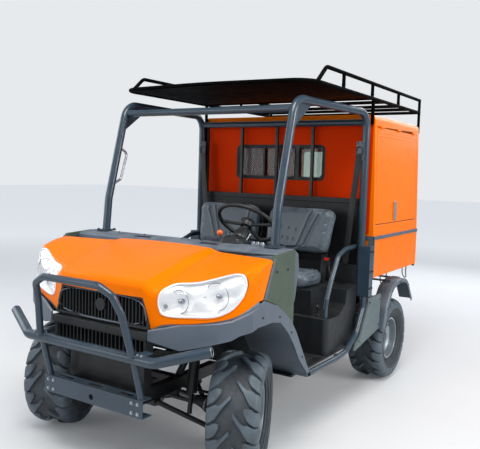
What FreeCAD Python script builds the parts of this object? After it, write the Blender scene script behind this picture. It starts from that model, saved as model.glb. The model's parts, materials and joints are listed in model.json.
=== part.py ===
import FreeCAD, Part
import math
import os
import Sketcher
from types import SimpleNamespace

from FreeCAD import Placement, Rotation, Vector

# Side by side utility vehicle with a tipping cargo bed that carries an enclosed tool box and a roof rack.
# Millimetres. The vehicle faces -Y, +X is its left (driver's) side, +Z is up. The origin is on the ground
# below the middle of its overall box. A "station" is a distance behind the front axle.

document = FreeCAD.newDocument("utility_vehicle")
sheet = document.addObject("Spreadsheet::Sheet", "Sizes")

# alias, value, what it is
SIZES = [
    ("nose_overhang", 616, "front axle to the front of the brush guard hoop"),
    ("wheelbase", 2045, "front axle to rear axle"),
    ("tail_overhang", 555, "rear axle to the back of the roof rack"),
    ("clearance", 0.3, "gap between pieces that seat on each other"),
    ("panel_gap", 5, "gap round panels that open"),
    # wheels
    ("tyre_radius", 317.5, "to the tips of the lugs"),
    ("lug_height", 20, "lug tips above the carcass"),
    ("lug_count", 11, "lugs on each side of a tyre"),
    ("bead_radius", 152, "tyre seat on the rim"),
    ("bead_half_width", 93, "half of the rim's width"),
    ("rim_wall", 6, "rim barrel wall"),
    ("flange_radius", 163, "outer radius of the rim flange"),
    ("disc_offset", 20, "rim disc outboard of the wheel's middle"),
    ("rim_window_count", 8, "round windows in a rim's disc"),
    ("rim_window_radius", 13, "round window in a rim's disc"),
    ("rim_window_circle", 100, "middle of a window, from the wheel's axis"),
    ("hub_radius", 46, "hub of the wheel"),
    ("hub_bore", 17.8, "bore of the wheel hub"),
    ("spindle_gap", 0.3, "running gap of a spindle in its hub"),
    ("front_half_track", 633, "middle of a front wheel"),
    ("rear_half_track", 642, "middle of a rear wheel"),
    ("kingpin_x", 500, "kingpin axis"),
    ("steering_wheel_radius", 185, "middle of the steering wheel's ring"),
    ("steering_wheel_grip", 13, "radius of the ring's section"),
    ("steer_rest", 22, "angle at which the front wheels are turned to the left"),
    # frame
    ("rail_x", 220, "middle of a frame rail"),
    ("rail_width", 50, "frame rail width"),
    ("rail_top", 400, "top of the rails below the floor"),
    ("rail_height", 70, "frame rail depth"),
    ("nose_rail_top", 438, "top of the rails ahead of the floor"),
    ("floor_front", 475, "station of the floor's front edge"),
    ("floor_wall", 14, "floor and toe board"),
    ("floor_half_width", 700, "half of the floor's width"),
    ("tail_rail_bottom", 375, "underside of the rails over the rear axle"),
    ("frame_end", 2445, "station of the frame's back end"),
    ("bed_rail_top", 835, "top of the rails below the bed"),
    ("bed_rail_height", 50, "depth of the rails below the bed"),
    ("bed_rail_x", 330, "middle of a rail below the bed"),
    # brush guard
    ("bar_radius", 27, "main bar of the brush guard"),
    ("hoop_radius", 19, "hoop of the brush guard"),
    ("channel_half_length", 355, "front channel"),
    ("channel_top", 450, "top of the front channel"),
    ("channel_bottom", 356, "underside of the front channel"),
    ("channel_front", 447, "front of the channel ahead of the front axle"),
    ("channel_depth", 72, "front to back"),
    ("channel_wall", 6, "plate of the front channel"),
    ("tow_hole_radius", 15, "round hole in the front channel"),
    # cabin
    ("pillar_radius", 25.5, "tubes of the roll-over frame"),
    ("side_tube_radius", 19, "side guard tubes"),
    ("pillar_x", 647, "front pillars"),
    ("rear_pillar_x", 705, "rear pillars"),
    ("rear_pillar_station", 1455, "rear pillars"),
    ("frame_tube_top", 2025, "middle of the side tubes of the roll-over frame"),
    ("dash_top", 1178, "top of the dash"),
    ("seat_front", 940, "station of the seat base's front"),
    ("seat_base_top", 655, "top of the side boxes of the seat base"),
    ("pedestal_top", 825, "top of the seat pedestal"),
    ("cushion_thickness", 105, "seat cushion"),
    ("back_thickness", 120, "seat back"),
    ("seat_half_width", 590, "outer edge of the seats"),
    ("seat_split", 28, "gap between the two seats"),
    # bodywork
    ("hood_wall", 6, "hood and lamp housings"),
    ("body_half_width", 785, "side of the hood and of the side cowls"),
    ("cowl_wall", 21, "thickness of the side cowls"),
    ("flare_wall", 12, "front flares"),
    # cargo bed and box
    ("bed_front", 1537, "station of the bed's front wall"),
    ("bed_rear", 2549, "station of the bed's back"),
    ("bed_half_width", 765, "half of the bed's width"),
    ("bed_bottom", 860, "underside of the bed"),
    ("bed_top", 1160, "top of the bed's rail"),
    ("bed_wall", 32, "bed walls"),
    ("bed_floor", 25, "bed floor"),
    ("box_top", 2026, "top of the tool box"),
    ("box_taper", 25, "inward lean of each side of the tool box"),
    ("box_wall", 25, "walls of the tool box"),
    ("box_corner", 45, "radius of the box's upper long edges"),
    ("door_head", 83, "hinge line of the side doors below the top of the box"),
    ("door_sill", 80, "lower edge of the side doors above the bed's rail"),
    ("door_front_margin", 38, "side doors' front edge behind the bed's front wall"),
    ("door_rear_margin", 54, "side doors' back edge ahead of the bed's back"),
    ("hatch_half_width", 610, "rear hatch"),
    ("bed_pivot_station", 2420, "hinge line of the bed"),
    ("bed_pivot_drop", 40, "hinge line of the bed below its underside"),
    ("pin_radius", 12, "bed hinge pins"),
    # rack
    ("rack_tube", 12.5, "radius of the rack tubes"),
    ("rack_half_width", 720, "middle of the rack's side tubes"),
    ("rack_height", 2133, "middle of the rack's lower tubes"),
    ("rack_rail_rise", 102, "rack's upper rails above its lower tubes"),
    ("rack_front", 532, "station of the rack's front corners"),
    ("rack_bow", 57, "how far the rack's front bows forward"),
    # lift cylinder
    ("lift_base_station", 2250, "lower pin of the lift cylinder"),
    ("lift_base_height", 480, "lower pin of the lift cylinder"),
    ("lift_eye_station", 2050, "upper pin of the lift cylinder"),
    ("lift_eye_drop", 36, "upper pin of the lift cylinder below the bed"),
    ("lift_barrel_radius", 27, "lift cylinder barrel"),
    ("lift_rod_radius", 14, "lift cylinder rod"),
]
for row, (alias, value, note) in enumerate(SIZES, start=1):
    sheet.set("A%d" % row, alias)
    sheet.set("B%d" % row, str(value))
    sheet.setAlias("B%d" % row, alias)
    sheet.set("C%d" % row, note)
document.recompute()


def text(value):
    """A number as an expression over the sheet."""
    if isinstance(value, Size):
        return value.text
    return "(%.6f)" % value


class Size(float):
    """A number that remembers how the sheet gives it, so that a feature can be bound to it."""

    def __new__(cls, value, expression):
        size = float.__new__(cls, value)
        size.text = expression
        return size

    def joined(self, other, sign, swap=False):
        if not isinstance(other, (int, float)):
            return NotImplemented
        left, right = (other, self) if swap else (self, other)
        a, b = float(left), float(right)
        value = {"+": a + b, "-": a - b, "*": a * b, "/": a / b if b else 0.0}[sign]
        return Size(value, "(%s %s %s)" % (text(left), sign, text(right)))

    def __add__(self, other):
        return self.joined(other, "+")

    def __radd__(self, other):
        return self.joined(other, "+", True)

    def __sub__(self, other):
        return self.joined(other, "-")

    def __rsub__(self, other):
        return self.joined(other, "-", True)

    def __mul__(self, other):
        return self.joined(other, "*")

    def __rmul__(self, other):
        return self.joined(other, "*", True)

    def __truediv__(self, other):
        return self.joined(other, "/")

    def __neg__(self):
        return self * -1


def derived(alias, size, note):
    """Adds a size that follows from others to the sheet."""
    global row
    row += 1
    sheet.set("A%d" % row, alias)
    sheet.set("B%d" % row, "=" + size.text.replace("Sizes.", ""))
    sheet.setAlias("B%d" % row, alias)
    sheet.set("C%d" % row, note)
    return Size(size, "Sizes." + alias)


d = SimpleNamespace(**{alias: Size(float(sheet.get(alias)), "Sizes." + alias) for alias, _, _ in SIZES})
length = d.nose_overhang + d.wheelbase + d.tail_overhang
front_axle = derived("front_axle", d.nose_overhang - length / 2, "model y of the front axle")
axle_height = derived("axle_height", d.tyre_radius * 1, "height of both axles")
floor_bottom = derived("floor_bottom", d.rail_top + d.clearance, "underside of the cab floor")
floor_top = derived("floor_top", floor_bottom + d.floor_wall, "top of the cab floor")
# columns: alias, size, what it is
FOLLOWING = [
    ("bed_pivot_height", d.bed_bottom - d.bed_pivot_drop, "hinge line of the bed"),
    ("lift_eye_height", d.bed_bottom - d.lift_eye_drop, "upper pin of the lift cylinder"),
    ("rack_rail_height", d.rack_height + d.rack_rail_rise, "middle of the rack's upper rails"),
    ("door_top", d.box_top - d.door_head, "hinge line of the side doors"),
    ("door_bottom", d.bed_top + d.door_sill, "lower edge of the side doors"),
    ("door_front", d.bed_front + d.door_front_margin, "station of the side doors' front edge"),
    ("door_rear", d.bed_rear - d.door_rear_margin, "station of the side doors' back edge"),
]
for alias, size, note in FOLLOWING:
    setattr(d, alias, derived(alias, size, note))
document.recompute()


def at(station):
    """Model y of a station, a distance behind the front axle."""
    return front_axle + station


def point(x, station, z):
    return Vector(x, at(station), z)


# Shapes

def rounded_path(points, radii, closed=False):
    """Straight runs joined by tangent arcs. A radius of 0 leaves a sharp corner."""
    count = len(points)
    if not hasattr(radii, "__len__"):
        radii = [radii] * count
    trims = []
    for i, corner in enumerate(points):
        before = points[i - 1]
        after = points[(i + 1) % count]
        is_end = not closed and i in (0, count - 1)
        if is_end or radii[i] == 0:
            trims.append((corner, None, corner))
            continue
        back = (before - corner).normalize()
        ahead = (after - corner).normalize()
        half_turn = (math.pi - back.getAngle(ahead)) / 2
        cut = radii[i] * math.tan(half_turn)
        start = corner + back * cut
        end = corner + ahead * cut
        inward = (back + ahead).normalize()
        middle = corner + inward * (radii[i] / math.cos(half_turn) - radii[i])
        trims.append((start, middle, end))
    parts = []
    for i in range(count if closed else count - 1):
        _, _, leave = trims[i]
        arrive, middle, past = trims[(i + 1) % count]
        if leave.distanceToPoint(arrive) > 1e-4:
            parts.append(Part.LineSegment(leave, arrive))
        if middle is not None:
            parts.append(Part.ArcOfCircle(arrive, middle, past))
    return parts


def wire(points, radii=0, closed=True):
    return Part.Wire([part.toShape() for part in rounded_path(points, radii, closed)])


def face(points, radii=0):
    return Part.Face(wire(points, radii))


def rectangle(half_width, low, high):
    return [(-half_width, low), (half_width, low), (half_width, high), (-half_width, high)]


# Document objects

nodes = []


def node(name, item):
    """Names a document object as one of the vehicle's sub-parts."""
    item.Label = name
    nodes.append(item)
    return item


def feature(name, shape, placement=Placement()):
    """A sub-part whose shape is set here. Its placement follows its shape."""
    item = document.addObject("Part::Feature", name)
    item.Label = name
    item.Shape = shape
    item.Placement = placement
    nodes.append(item)
    return item


def bind(item, **sizes):
    """Sets properties, and binds each to the sheet if its size comes from there."""
    for prop, size in sizes.items():
        if isinstance(size, Size):
            item.setExpression(prop.replace("__", "."), size.text)
        else:
            setattr(item, prop, size)


def put(item, base, turn=Rotation()):
    """Places a feature at three coordinates, and binds those that come from the sheet."""
    item.Placement = Placement(Vector(*base), turn)
    for axis, value in zip("xyz", base):
        if isinstance(value, Size):
            item.setExpression("Placement.Base." + axis, value.text)


def block(x, stations, heights):
    """Box from (low, high) pairs of x, station and height."""
    item = document.addObject("Part::Box", "block")
    bind(item, Length=x[1] - x[0], Width=stations[1] - stations[0], Height=heights[1] - heights[0])
    put(item, (x[0], at(stations[0]), heights[0]))
    return item


def local_box(size, base):
    """Box from its size and its low corner."""
    item = document.addObject("Part::Box", "local_box")
    bind(item, Length=size[0], Width=size[1], Height=size[2])
    put(item, base)
    return item


def cylinder(radius, height, base, axis):
    item = document.addObject("Part::Cylinder", "cylinder")
    bind(item, Radius=radius, Height=height)
    put(item, base, Rotation(Vector(0, 0, 1), axis))
    return item


def bar(start, end, radius):
    """Round bar between two points."""
    return cylinder(radius, (end - start).Length, start, end - start)


def cone(first, last, height, base, axis):
    item = document.addObject("Part::Cone", "cone")
    bind(item, Radius1=first, Radius2=last, Height=height)
    put(item, base, Rotation(Vector(0, 0, 1), axis))
    return item


def ball(radius, centre):
    item = document.addObject("Part::Sphere", "ball")
    bind(item, Radius=radius)
    put(item, centre)
    return item


def tube(points, radius, bend=0):
    """Round bar swept along straight runs and tangent arcs."""
    line = wire(points, bend, closed=False)
    path = document.addObject("Part::Feature", "tube_path")
    path.Shape = line
    start = line.Edges[0]
    section = document.addObject("Part::Circle", "tube_section")
    bind(section, Radius=radius)
    put(section, start.valueAt(start.FirstParameter),
        Rotation(Vector(0, 0, 1), start.tangentAt(start.FirstParameter)))
    item = document.addObject("Part::Sweep", "tube")
    item.Sections = [section]
    item.Spine = (path, ["Edge%d" % (i + 1) for i in range(len(line.Edges))])
    item.Solid = True
    item.Frenet = True
    return item


# Turns of a sketch that lay its own axes along y and z, along x and z, or along x and y
SIDE_VIEW = Rotation(Vector(1, 1, 1), 120)
FRONT_VIEW = Rotation(Vector(1, 0, 0), 90)
PLAN_VIEW = Rotation()


def sketched(corners, radii, view, base):
    """Sketch of an outline with rounded corners in one view."""
    sketch = document.addObject("Sketcher::SketchObject", "outline")
    sketch.addGeometry(rounded_path([Vector(u, v, 0) for u, v in corners], radii, closed=True), False)
    put(sketch, base, view)
    return sketch


def prism(corners, radii, view, base, span, backwards=False):
    """Sketched outline, extruded by 'span'."""
    item = document.addObject("Part::Extrusion", "prism")
    item.Base = sketched(corners, radii, view, base)
    item.DirMode = "Normal"
    item.Solid = True
    item.Reversed = backwards
    bind(item, LengthFwd=span)
    return item


def side_prism(outline, x_low, x_high, radii=0):
    """Prism of a side view outline of (station, height) pairs."""
    corners = [(at(station), z) for station, z in outline]
    return prism(corners, radii, SIDE_VIEW, (x_low, 0, 0), x_high - x_low)


def front_prism(outline, station_low, station_high, radii=0):
    """Prism of a front view outline of (x, height) pairs."""
    return prism(outline, radii, FRONT_VIEW, (0, at(station_low), 0), station_high - station_low, True)


def plan_prism(outline, z_low, z_high, radii=0):
    """Prism of a plan view outline of (x, station) pairs."""
    corners = [(x, at(station)) for x, station in outline]
    return prism(corners, radii, PLAN_VIEW, (0, 0, z_low), z_high - z_low)


def made(name, shape):
    """A shape that no feature gives, as a document object."""
    item = document.addObject("Part::Feature", name)
    item.Shape = shape
    return item


def fuse(items):
    if len(items) == 1:
        return items[0]
    item = document.addObject("Part::MultiFuse", "fused")
    item.Shapes = items
    item.Refine = True
    return item


def cut(base, *tools):
    for tool in tools:
        item = document.addObject("Part::Cut", "cut")
        item.Base = base
        item.Tool = tool
        base = item
    return base


def common(*items):
    item = document.addObject("Part::MultiCommon", "common")
    item.Shapes = list(items)
    return item


def mirrored(item):
    """The same feature on the vehicle's other side."""
    other = document.addObject("Part::Mirroring", "mirrored")
    other.Source = item
    other.Normal = Vector(1, 0, 0)
    return other


def group(items):
    """Separate solids of one sub-part."""
    item = document.addObject("Part::Compound", "group")
    item.Links = items
    return item


def both_sides(item):
    return group([item, mirrored(item)])


# Wheels. A wheel lies on the x axis about the origin, outboard towards +x.

TYRE_FACETS = 22
# columns: radius, half width
TYRE_PROFILE = [
    (245, 135),
    (290, 112),
]


def tyre_carcass():
    """Faceted ring. The flats of its bore stay outside the rim's seat and flanges."""
    step = 2 * math.pi / TYRE_FACETS
    corner = 1 / math.cos(step / 2)
    side = [(d.bead_radius * corner, d.bead_half_width),
            ((d.flange_radius + d.clearance) * corner, d.bead_half_width)] + TYRE_PROFILE
    crown = d.tyre_radius - d.lug_height
    ring = side + [(crown, 60), (crown, -60)] + [(radius, -across) for radius, across in reversed(side)]
    faces = []

    def spot(entry, turn):
        radius, across = entry
        return Vector(across, radius * math.cos(turn * step), radius * math.sin(turn * step))

    for turn in range(TYRE_FACETS):
        for i, entry in enumerate(ring):
            following = ring[(i + 1) % len(ring)]
            corners = [spot(entry, turn), spot(following, turn), spot(following, turn + 1),
                       spot(entry, turn + 1)]
            faces.append(Part.Face(Part.makePolygon(corners + corners[:1])))
    return Part.makeSolid(Part.makeShell(faces))


def prism_between(sections):
    """Solid through four-cornered sections, with flat triangles on its sides."""
    faces = []
    for low, high in zip(sections, sections[1:]):
        for i in range(4):
            a, b = low[i], low[(i + 1) % 4]
            c, e = high[(i + 1) % 4], high[i]
            for corners in ((a, b, c), (a, c, e)):
                faces.append(Part.Face(Part.makePolygon(list(corners) + [corners[0]])))
    for end in (sections[0], sections[-1]):
        for corners in ((end[0], end[1], end[2]), (end[0], end[2], end[3])):
            faces.append(Part.Face(Part.makePolygon(list(corners) + [corners[0]])))
    solid = Part.makeSolid(Part.makeShell(faces))
    if solid.Volume < 0:
        solid.reverse()
    return solid


def tyre_lug(side, turn):
    """Curved chevron lug from beside the middle of the tread out over the shoulder."""
    pitch = 2 * math.pi / d.lug_count
    root = d.tyre_radius - d.lug_height
    # columns: across, outer radius, inner radius, half width of the bar, place round the tyre in pitches
    run = [
        (4, d.tyre_radius, root - 14, 11, 0.00),
        (66, d.tyre_radius, root - 14, 13, 0.42),
        (111, d.tyre_radius - 12, root - 18, 16, 0.60),
    ]
    sections = []
    for across, outer, inner, half, shift in run:
        middle = (turn + shift) * pitch
        spread = half / outer
        corners = []
        for radius, angle in ((outer, middle - spread), (outer, middle + spread),
                              (inner, middle + spread), (inner, middle - spread)):
            corners.append(Vector(side * across, radius * math.cos(angle), radius * math.sin(angle)))
        sections.append(corners)
    return prism_between(sections)


def tyre():
    lugs = []
    for turn in range(int(d.lug_count)):
        lugs.append(tyre_lug(1, turn))
        lugs.append(tyre_lug(-1, turn + 0.5))
    return tyre_carcass().multiFuse(lugs)


def rim(name, place):
    """Revolved steel wheel with a drop centre, a dished disc with round windows, and a hub."""
    inner = d.bead_radius - d.rim_wall - d.clearance
    seat = d.bead_radius - d.clearance
    edge = d.bead_half_width + d.clearance
    disc = d.disc_offset
    # columns: x, radius
    outline = [
        (-edge - 8, inner), (-edge - 8, d.flange_radius), (-edge, d.flange_radius), (-edge, seat),
        (-55, seat), (-40, seat - 22), (30, seat - 22), (45, seat),
        (edge, seat), (edge, d.flange_radius), (edge + 8, d.flange_radius), (edge + 8, inner),
        (50, inner), (34, inner - 22), (disc + 22, inner - 32), (disc + 30, 92),
        (disc + 12, d.hub_radius + 12),
        (disc + 12, d.hub_radius - 14), (disc + 38, d.hub_radius - 16), (disc + 38, d.hub_bore + 6),
        (disc + 38, 0), (disc + 30, 0), (disc + 30, d.hub_bore), (disc - 42, d.hub_bore),
        (disc - 42, d.hub_radius), (disc, d.hub_radius + 2), (disc, 70), (disc + 18, 90),
        (disc + 12, inner - 34), (disc + 2, inner - 22), (-44, inner - 22), (-59, inner),
    ]
    body = document.addObject("PartDesign::Body", name)
    roles = {item.Role: item for item in body.Origin.OriginFeatures}
    section = body.newObject("Sketcher::SketchObject", "rim_section")
    section.AttachmentSupport = (roles["XY_Plane"], "")
    section.MapMode = "FlatFace"
    section.addGeometry(rounded_path([Vector(x, radius, 0) for x, radius in outline], 0, closed=True),
                        False)
    turned = body.newObject("PartDesign::Revolution", "rim_turned")
    turned.Profile = section
    turned.ReferenceAxis = (section, ["H_Axis"])
    turned.Angle = 360
    window = body.newObject("Sketcher::SketchObject", "rim_window")
    window.AttachmentSupport = (roles["YZ_Plane"], "")
    window.MapMode = "FlatFace"
    circle = window.addGeometry(Part.Circle(Vector(d.rim_window_circle, 0, 0), Vector(0, 0, 1),
                                            d.rim_window_radius), False)
    window.addConstraint(Sketcher.Constraint("Radius", circle, float(d.rim_window_radius)))
    window.addConstraint(Sketcher.Constraint("DistanceX", -1, 1, circle, 3, float(d.rim_window_circle)))
    window.setExpression("Constraints[0]", d.rim_window_radius.text)
    window.setExpression("Constraints[1]", d.rim_window_circle.text)
    pocket = body.newObject("PartDesign::Pocket", "rim_pocket")
    pocket.Profile = window
    pocket.Type = "ThroughAll"
    pocket.Midplane = True
    pattern = body.newObject("PartDesign::PolarPattern", "rim_windows")
    pattern.Originals = [pocket]
    pattern.Axis = (roles["X_Axis"], [""])
    pattern.Angle = 360
    bind(pattern, Occurrences=d.rim_window_count)
    body.Tip = pattern
    body.Placement = place
    return node(name, body)


def wheel_placement(side, station, half_track):
    """Rear wheel, or a front wheel turned with its kingpin."""
    facing = Rotation(Vector(0, 0, 1), 0 if side > 0 else 180)
    if station > 0:
        return Placement(point(side * half_track, station, axle_height), facing)
    turn = Rotation(Vector(0, 0, 1), d.steer_rest)
    kingpin = point(side * d.kingpin_x, 0, axle_height)
    offset = turn.multVec(Vector(side * (half_track - d.kingpin_x), 0, 0))
    return Placement(kingpin + offset, turn * facing)


# columns: name, side, station, half track
WHEELS = [
    ("front_left", 1, 0, d.front_half_track),
    ("front_right", -1, 0, d.front_half_track),
    ("rear_left", 1, d.wheelbase, d.rear_half_track),
    ("rear_right", -1, d.wheelbase, d.rear_half_track),
]


def make_wheels():
    tyre_shape = tyre()
    # a tyre whose lugs point the other way round, for the right side
    tyre_right = tyre_shape.mirror(Vector(0, 0, 0), Vector(0, 1, 0))
    for name, side, station, half_track in WHEELS:
        place = wheel_placement(side, station, half_track)
        feature("tyre_" + name, tyre_shape if side > 0 else tyre_right, place)
        rim("rim_" + name, place)


def spindle(reach, base):
    """Stub axle in a wheel's hub, from an upright 'reach' inboard of it. 'base' is the wheel's middle."""
    radius = d.hub_bore - d.spindle_gap
    axis = Vector(1, 0, 0)
    # columns: radius, start and length along the axle
    rounds = [(radius, HUB_BACK - 10, d.disc_offset + 30 - HUB_BACK),
              (d.hub_radius + 16, HUB_BACK - HUB_PLATE, HUB_PLATE),
              (NECK_RADIUS, HUB_BACK - HUB_PLATE - reach, reach)]
    return [cylinder(size, run, base + axis * start, axis) for size, start, run in rounds]


# Sizes shared by the frame, the running gear and the uprights
RAIL_TAIL_DEPTH = 65
BED_RAIL_WIDTH = 40
TOWER_RADIUS = 20
FRONT_CASE_RADIUS = 85
REAR_CASE_RADIUS = 110
HITCH_HEIGHT = 352
HITCH_HALF = 25.5
HITCH_PIN = 8
LIFT_BASE_PIN = 9
DAMPER_X = 430
PIVOT_RADIUS = 18
HUB_BACK = -23
HUB_PLATE = 12
NECK_RADIUS = 36
FRONT_NECK = 40
REAR_NECK = 45
# columns: x, station, z
FRONT_DAMPER_LOW = (375, -85, 282)
FRONT_DAMPER_TOP = (372, -20, 735)
KINGPIN_HALF = 98
KINGPIN_RADIUS = 20
STEER_ARM = 120
STEER_ARM_TOP = 8
STEER_ARM_X = 4
STEER_ARM_WIDTH = 20
STEER_BAR_RADIUS = 8
SHAFT_RADIUS = 14
ARM_TUBE = 14
BALL_HOUSING = 40


def make_knuckles():
    """Front uprights, modelled straight ahead about the kingpin and turned to the rest angle."""
    offset = d.front_half_track - d.kingpin_x
    for name, side in (("knuckle_left", 1), ("knuckle_right", -1)):
        pieces = spindle(FRONT_NECK, Vector(offset, 0, 0))
        pieces.append(cylinder(KINGPIN_RADIUS, 2 * KINGPIN_HALF, Vector(0, 0, -KINGPIN_HALF),
                               Vector(0, 0, 1)))
        pieces.append(local_box((60, 44, 80), (0, -22, -40)))
        pieces.append(local_box((STEER_ARM_WIDTH, STEER_ARM + 14, 14),
                                (STEER_ARM_X - STEER_ARM_WIDTH / 2, 0, STEER_ARM_TOP - 14)))
        upright = fuse(pieces)
        if side < 0:
            upright = mirrored(upright)
        upright = group([upright])
        upright.Placement = Placement(point(side * d.kingpin_x, 0, axle_height),
                                      Rotation(Vector(0, 0, 1), d.steer_rest))
        node(name, upright)


def make_rear_hubs():
    hub = fuse(spindle(REAR_NECK, point(d.rear_half_track, d.wheelbase, axle_height)))
    node("rear_hubs", both_sides(hub))


# Frame

def make_frame():
    """Two box rails with cross members, the bed's own rails on posts, the front tower and the hitch."""
    inner = d.rail_x - d.rail_width / 2
    outer = d.rail_x + d.rail_width / 2
    nose = -d.channel_front + d.channel_depth
    end, tail = d.frame_end, d.tail_rail_bottom
    top, bottom = d.rail_top, d.rail_top - d.rail_height
    nose_top, nose_bottom = d.nose_rail_top, d.nose_rail_top - d.rail_height
    tail_top = tail + RAIL_TAIL_DEPTH
    lower = side_prism([
        (nose, nose_bottom), (330, nose_bottom), (430, bottom), (1880, bottom), (1950, tail), (end, tail),
        (end, tail_top), (1950, tail_top), (1885, top), (450, top), (350, nose_top), (nose, nose_top)],
        inner, outer)
    bed_inner = d.bed_rail_x - BED_RAIL_WIDTH / 2
    bed_outer = d.bed_rail_x + BED_RAIL_WIDTH / 2
    bed_low = d.bed_rail_top - d.bed_rail_height
    side = [lower, block((bed_inner, bed_outer), (1500, end), (bed_low, d.bed_rail_top))]
    # columns: station of a post, underside and top of the rail that it stands beside
    for station, low, high in ((1500, bottom, top), (end - 50, tail, tail_top)):
        side.append(block((bed_inner, bed_outer), (station, station + 50), (low, bed_low)))
        side.append(block((inner, bed_outer), (station, station + 50), (low, high)))
    # rest below the bed's front, damper outrigger, and the pin of the bed's hinge
    side.append(block((bed_inner, bed_outer), (1600, 1680), (d.bed_rail_top, d.bed_bottom - d.clearance)))
    side.append(block((bed_inner, DAMPER_X + 30), (d.wheelbase + 35, d.wheelbase + 85),
                      (bed_low, bed_low + 12)))
    side.append(bar(point(bed_outer - 5, d.bed_pivot_station, d.bed_pivot_height),
                    point(bed_outer + 65, d.bed_pivot_station, d.bed_pivot_height), d.pin_radius))
    cross = []
    # columns: half length, station, width along the vehicle, low, high
    for half, station, run, low, high in (
            (outer, -300, 40, nose_bottom, nose_top),
            (outer, -25, 50, axle_height + FRONT_CASE_RADIUS + d.clearance, nose_top),
            (outer, 900, 50, bottom, top),
            (outer, 1400, 50, bottom, top),
            (outer, end - 50, 50, tail, tail_top),
            (bed_inner, end - 50, 50, bed_low, d.bed_rail_top),
            (bed_inner, 1500, 40, bed_low, d.bed_rail_top),
            (inner, d.lift_base_station - 25, 50, tail + 10, tail_top)):
        cross.append(block((-half, half), (station, station + run), (low, high)))
    # front suspension hoop with a plate for each damper
    cross.append(tube([point(-210, 20, nose_top - 10), point(-385, 20, 770), point(385, 20, 770),
                       point(210, 20, nose_top - 10)], TOWER_RADIUS, 60))
    for low_x, high_x in ((-400, -345), (345, 400)):
        cross.append(block((low_x, high_x), (FRONT_DAMPER_TOP[1] - 25, 20),
                           (FRONT_DAMPER_TOP[2], FRONT_DAMPER_TOP[2] + 8)))
    # lift cylinder ears and pin
    gap = d.lift_barrel_radius + 1
    for x in (-gap - 10, gap):
        cross.append(block((x, x + 10), (d.lift_base_station - 20, d.lift_base_station + 20),
                           (tail_top - 1, d.lift_base_height + 20)))
    cross.append(bar(point(-gap - 5, d.lift_base_station, d.lift_base_height),
                     point(gap + 5, d.lift_base_station, d.lift_base_height), LIFT_BASE_PIN))
    pin_x, pin_station, pin_z = 40, end + 30, HITCH_HEIGHT
    receiver = block((-32, 32), (end - 60, end + 60), (pin_z - 32, pin_z + 32))
    socket = block((-HITCH_HALF, HITCH_HALF), (end - 55, end + 61),
                   (pin_z - HITCH_HALF, pin_z + HITCH_HALF))
    pin_hole = bar(point(-pin_x, pin_station, pin_z), point(pin_x, pin_station, pin_z), HITCH_PIN)
    receiver = cut(receiver, socket, pin_hole)
    right = [mirrored(shape) for shape in side]
    node("frame", fuse(side + right + cross + [receiver]))


def make_gear():
    """Engine, gear cases and drive shafts below the bed and between the front wheels."""
    engine_front, engine_rear = 1560, 1870
    node("engine", block((-240, 240), (engine_front, engine_rear), (d.rail_top + d.clearance, 740)))
    rear_half, front_half = 115, 85
    rear_case = fuse([
        bar(point(-rear_half, d.wheelbase, axle_height), point(rear_half, d.wheelbase, axle_height),
            REAR_CASE_RADIUS),
        block((-90, 90), (engine_rear + d.clearance, d.wheelbase), (axle_height - 60, 480))])
    front_case = fuse([
        bar(point(-front_half, 0, axle_height), point(front_half, 0, axle_height), FRONT_CASE_RADIUS),
        block((-50, 50), (0, 190), (axle_height - 60, axle_height + 4))])
    node("gear_cases", group([rear_case, front_case]))
    shafts = []
    knuckle_face = d.kingpin_x - KINGPIN_RADIUS - d.clearance
    hub_face = d.rear_half_track + HUB_BACK - HUB_PLATE - REAR_NECK - d.clearance
    # columns: inner end, start of the outer boot, its end, outer end, station, largest boot radius
    for inner, boot, boot_end, outer, station, widest in (
            (front_half + d.clearance, 368, 448, knuckle_face, 0, 36),
            (rear_half + d.clearance, hub_face - 95, hub_face - 12, hub_face, d.wheelbase, 40)):
        pieces = [bar(point(inner, station, axle_height), point(outer, station, axle_height),
                      SHAFT_RADIUS)]
        for near, far, first, last in ((inner, inner + 90, widest + 6, 18),
                                       (boot, boot_end, 17, widest - 6)):
            pieces.append(cone(first, last, far - near, point(near, station, axle_height),
                               Vector(1, 0, 0)))
        shafts.append(both_sides(fuse(pieces)))
    shafts.append(bar(point(0, 190 + d.clearance, axle_height - 26),
                      point(0, engine_rear, axle_height - 26), 16))
    node("drive_shafts", group(shafts))


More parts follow.
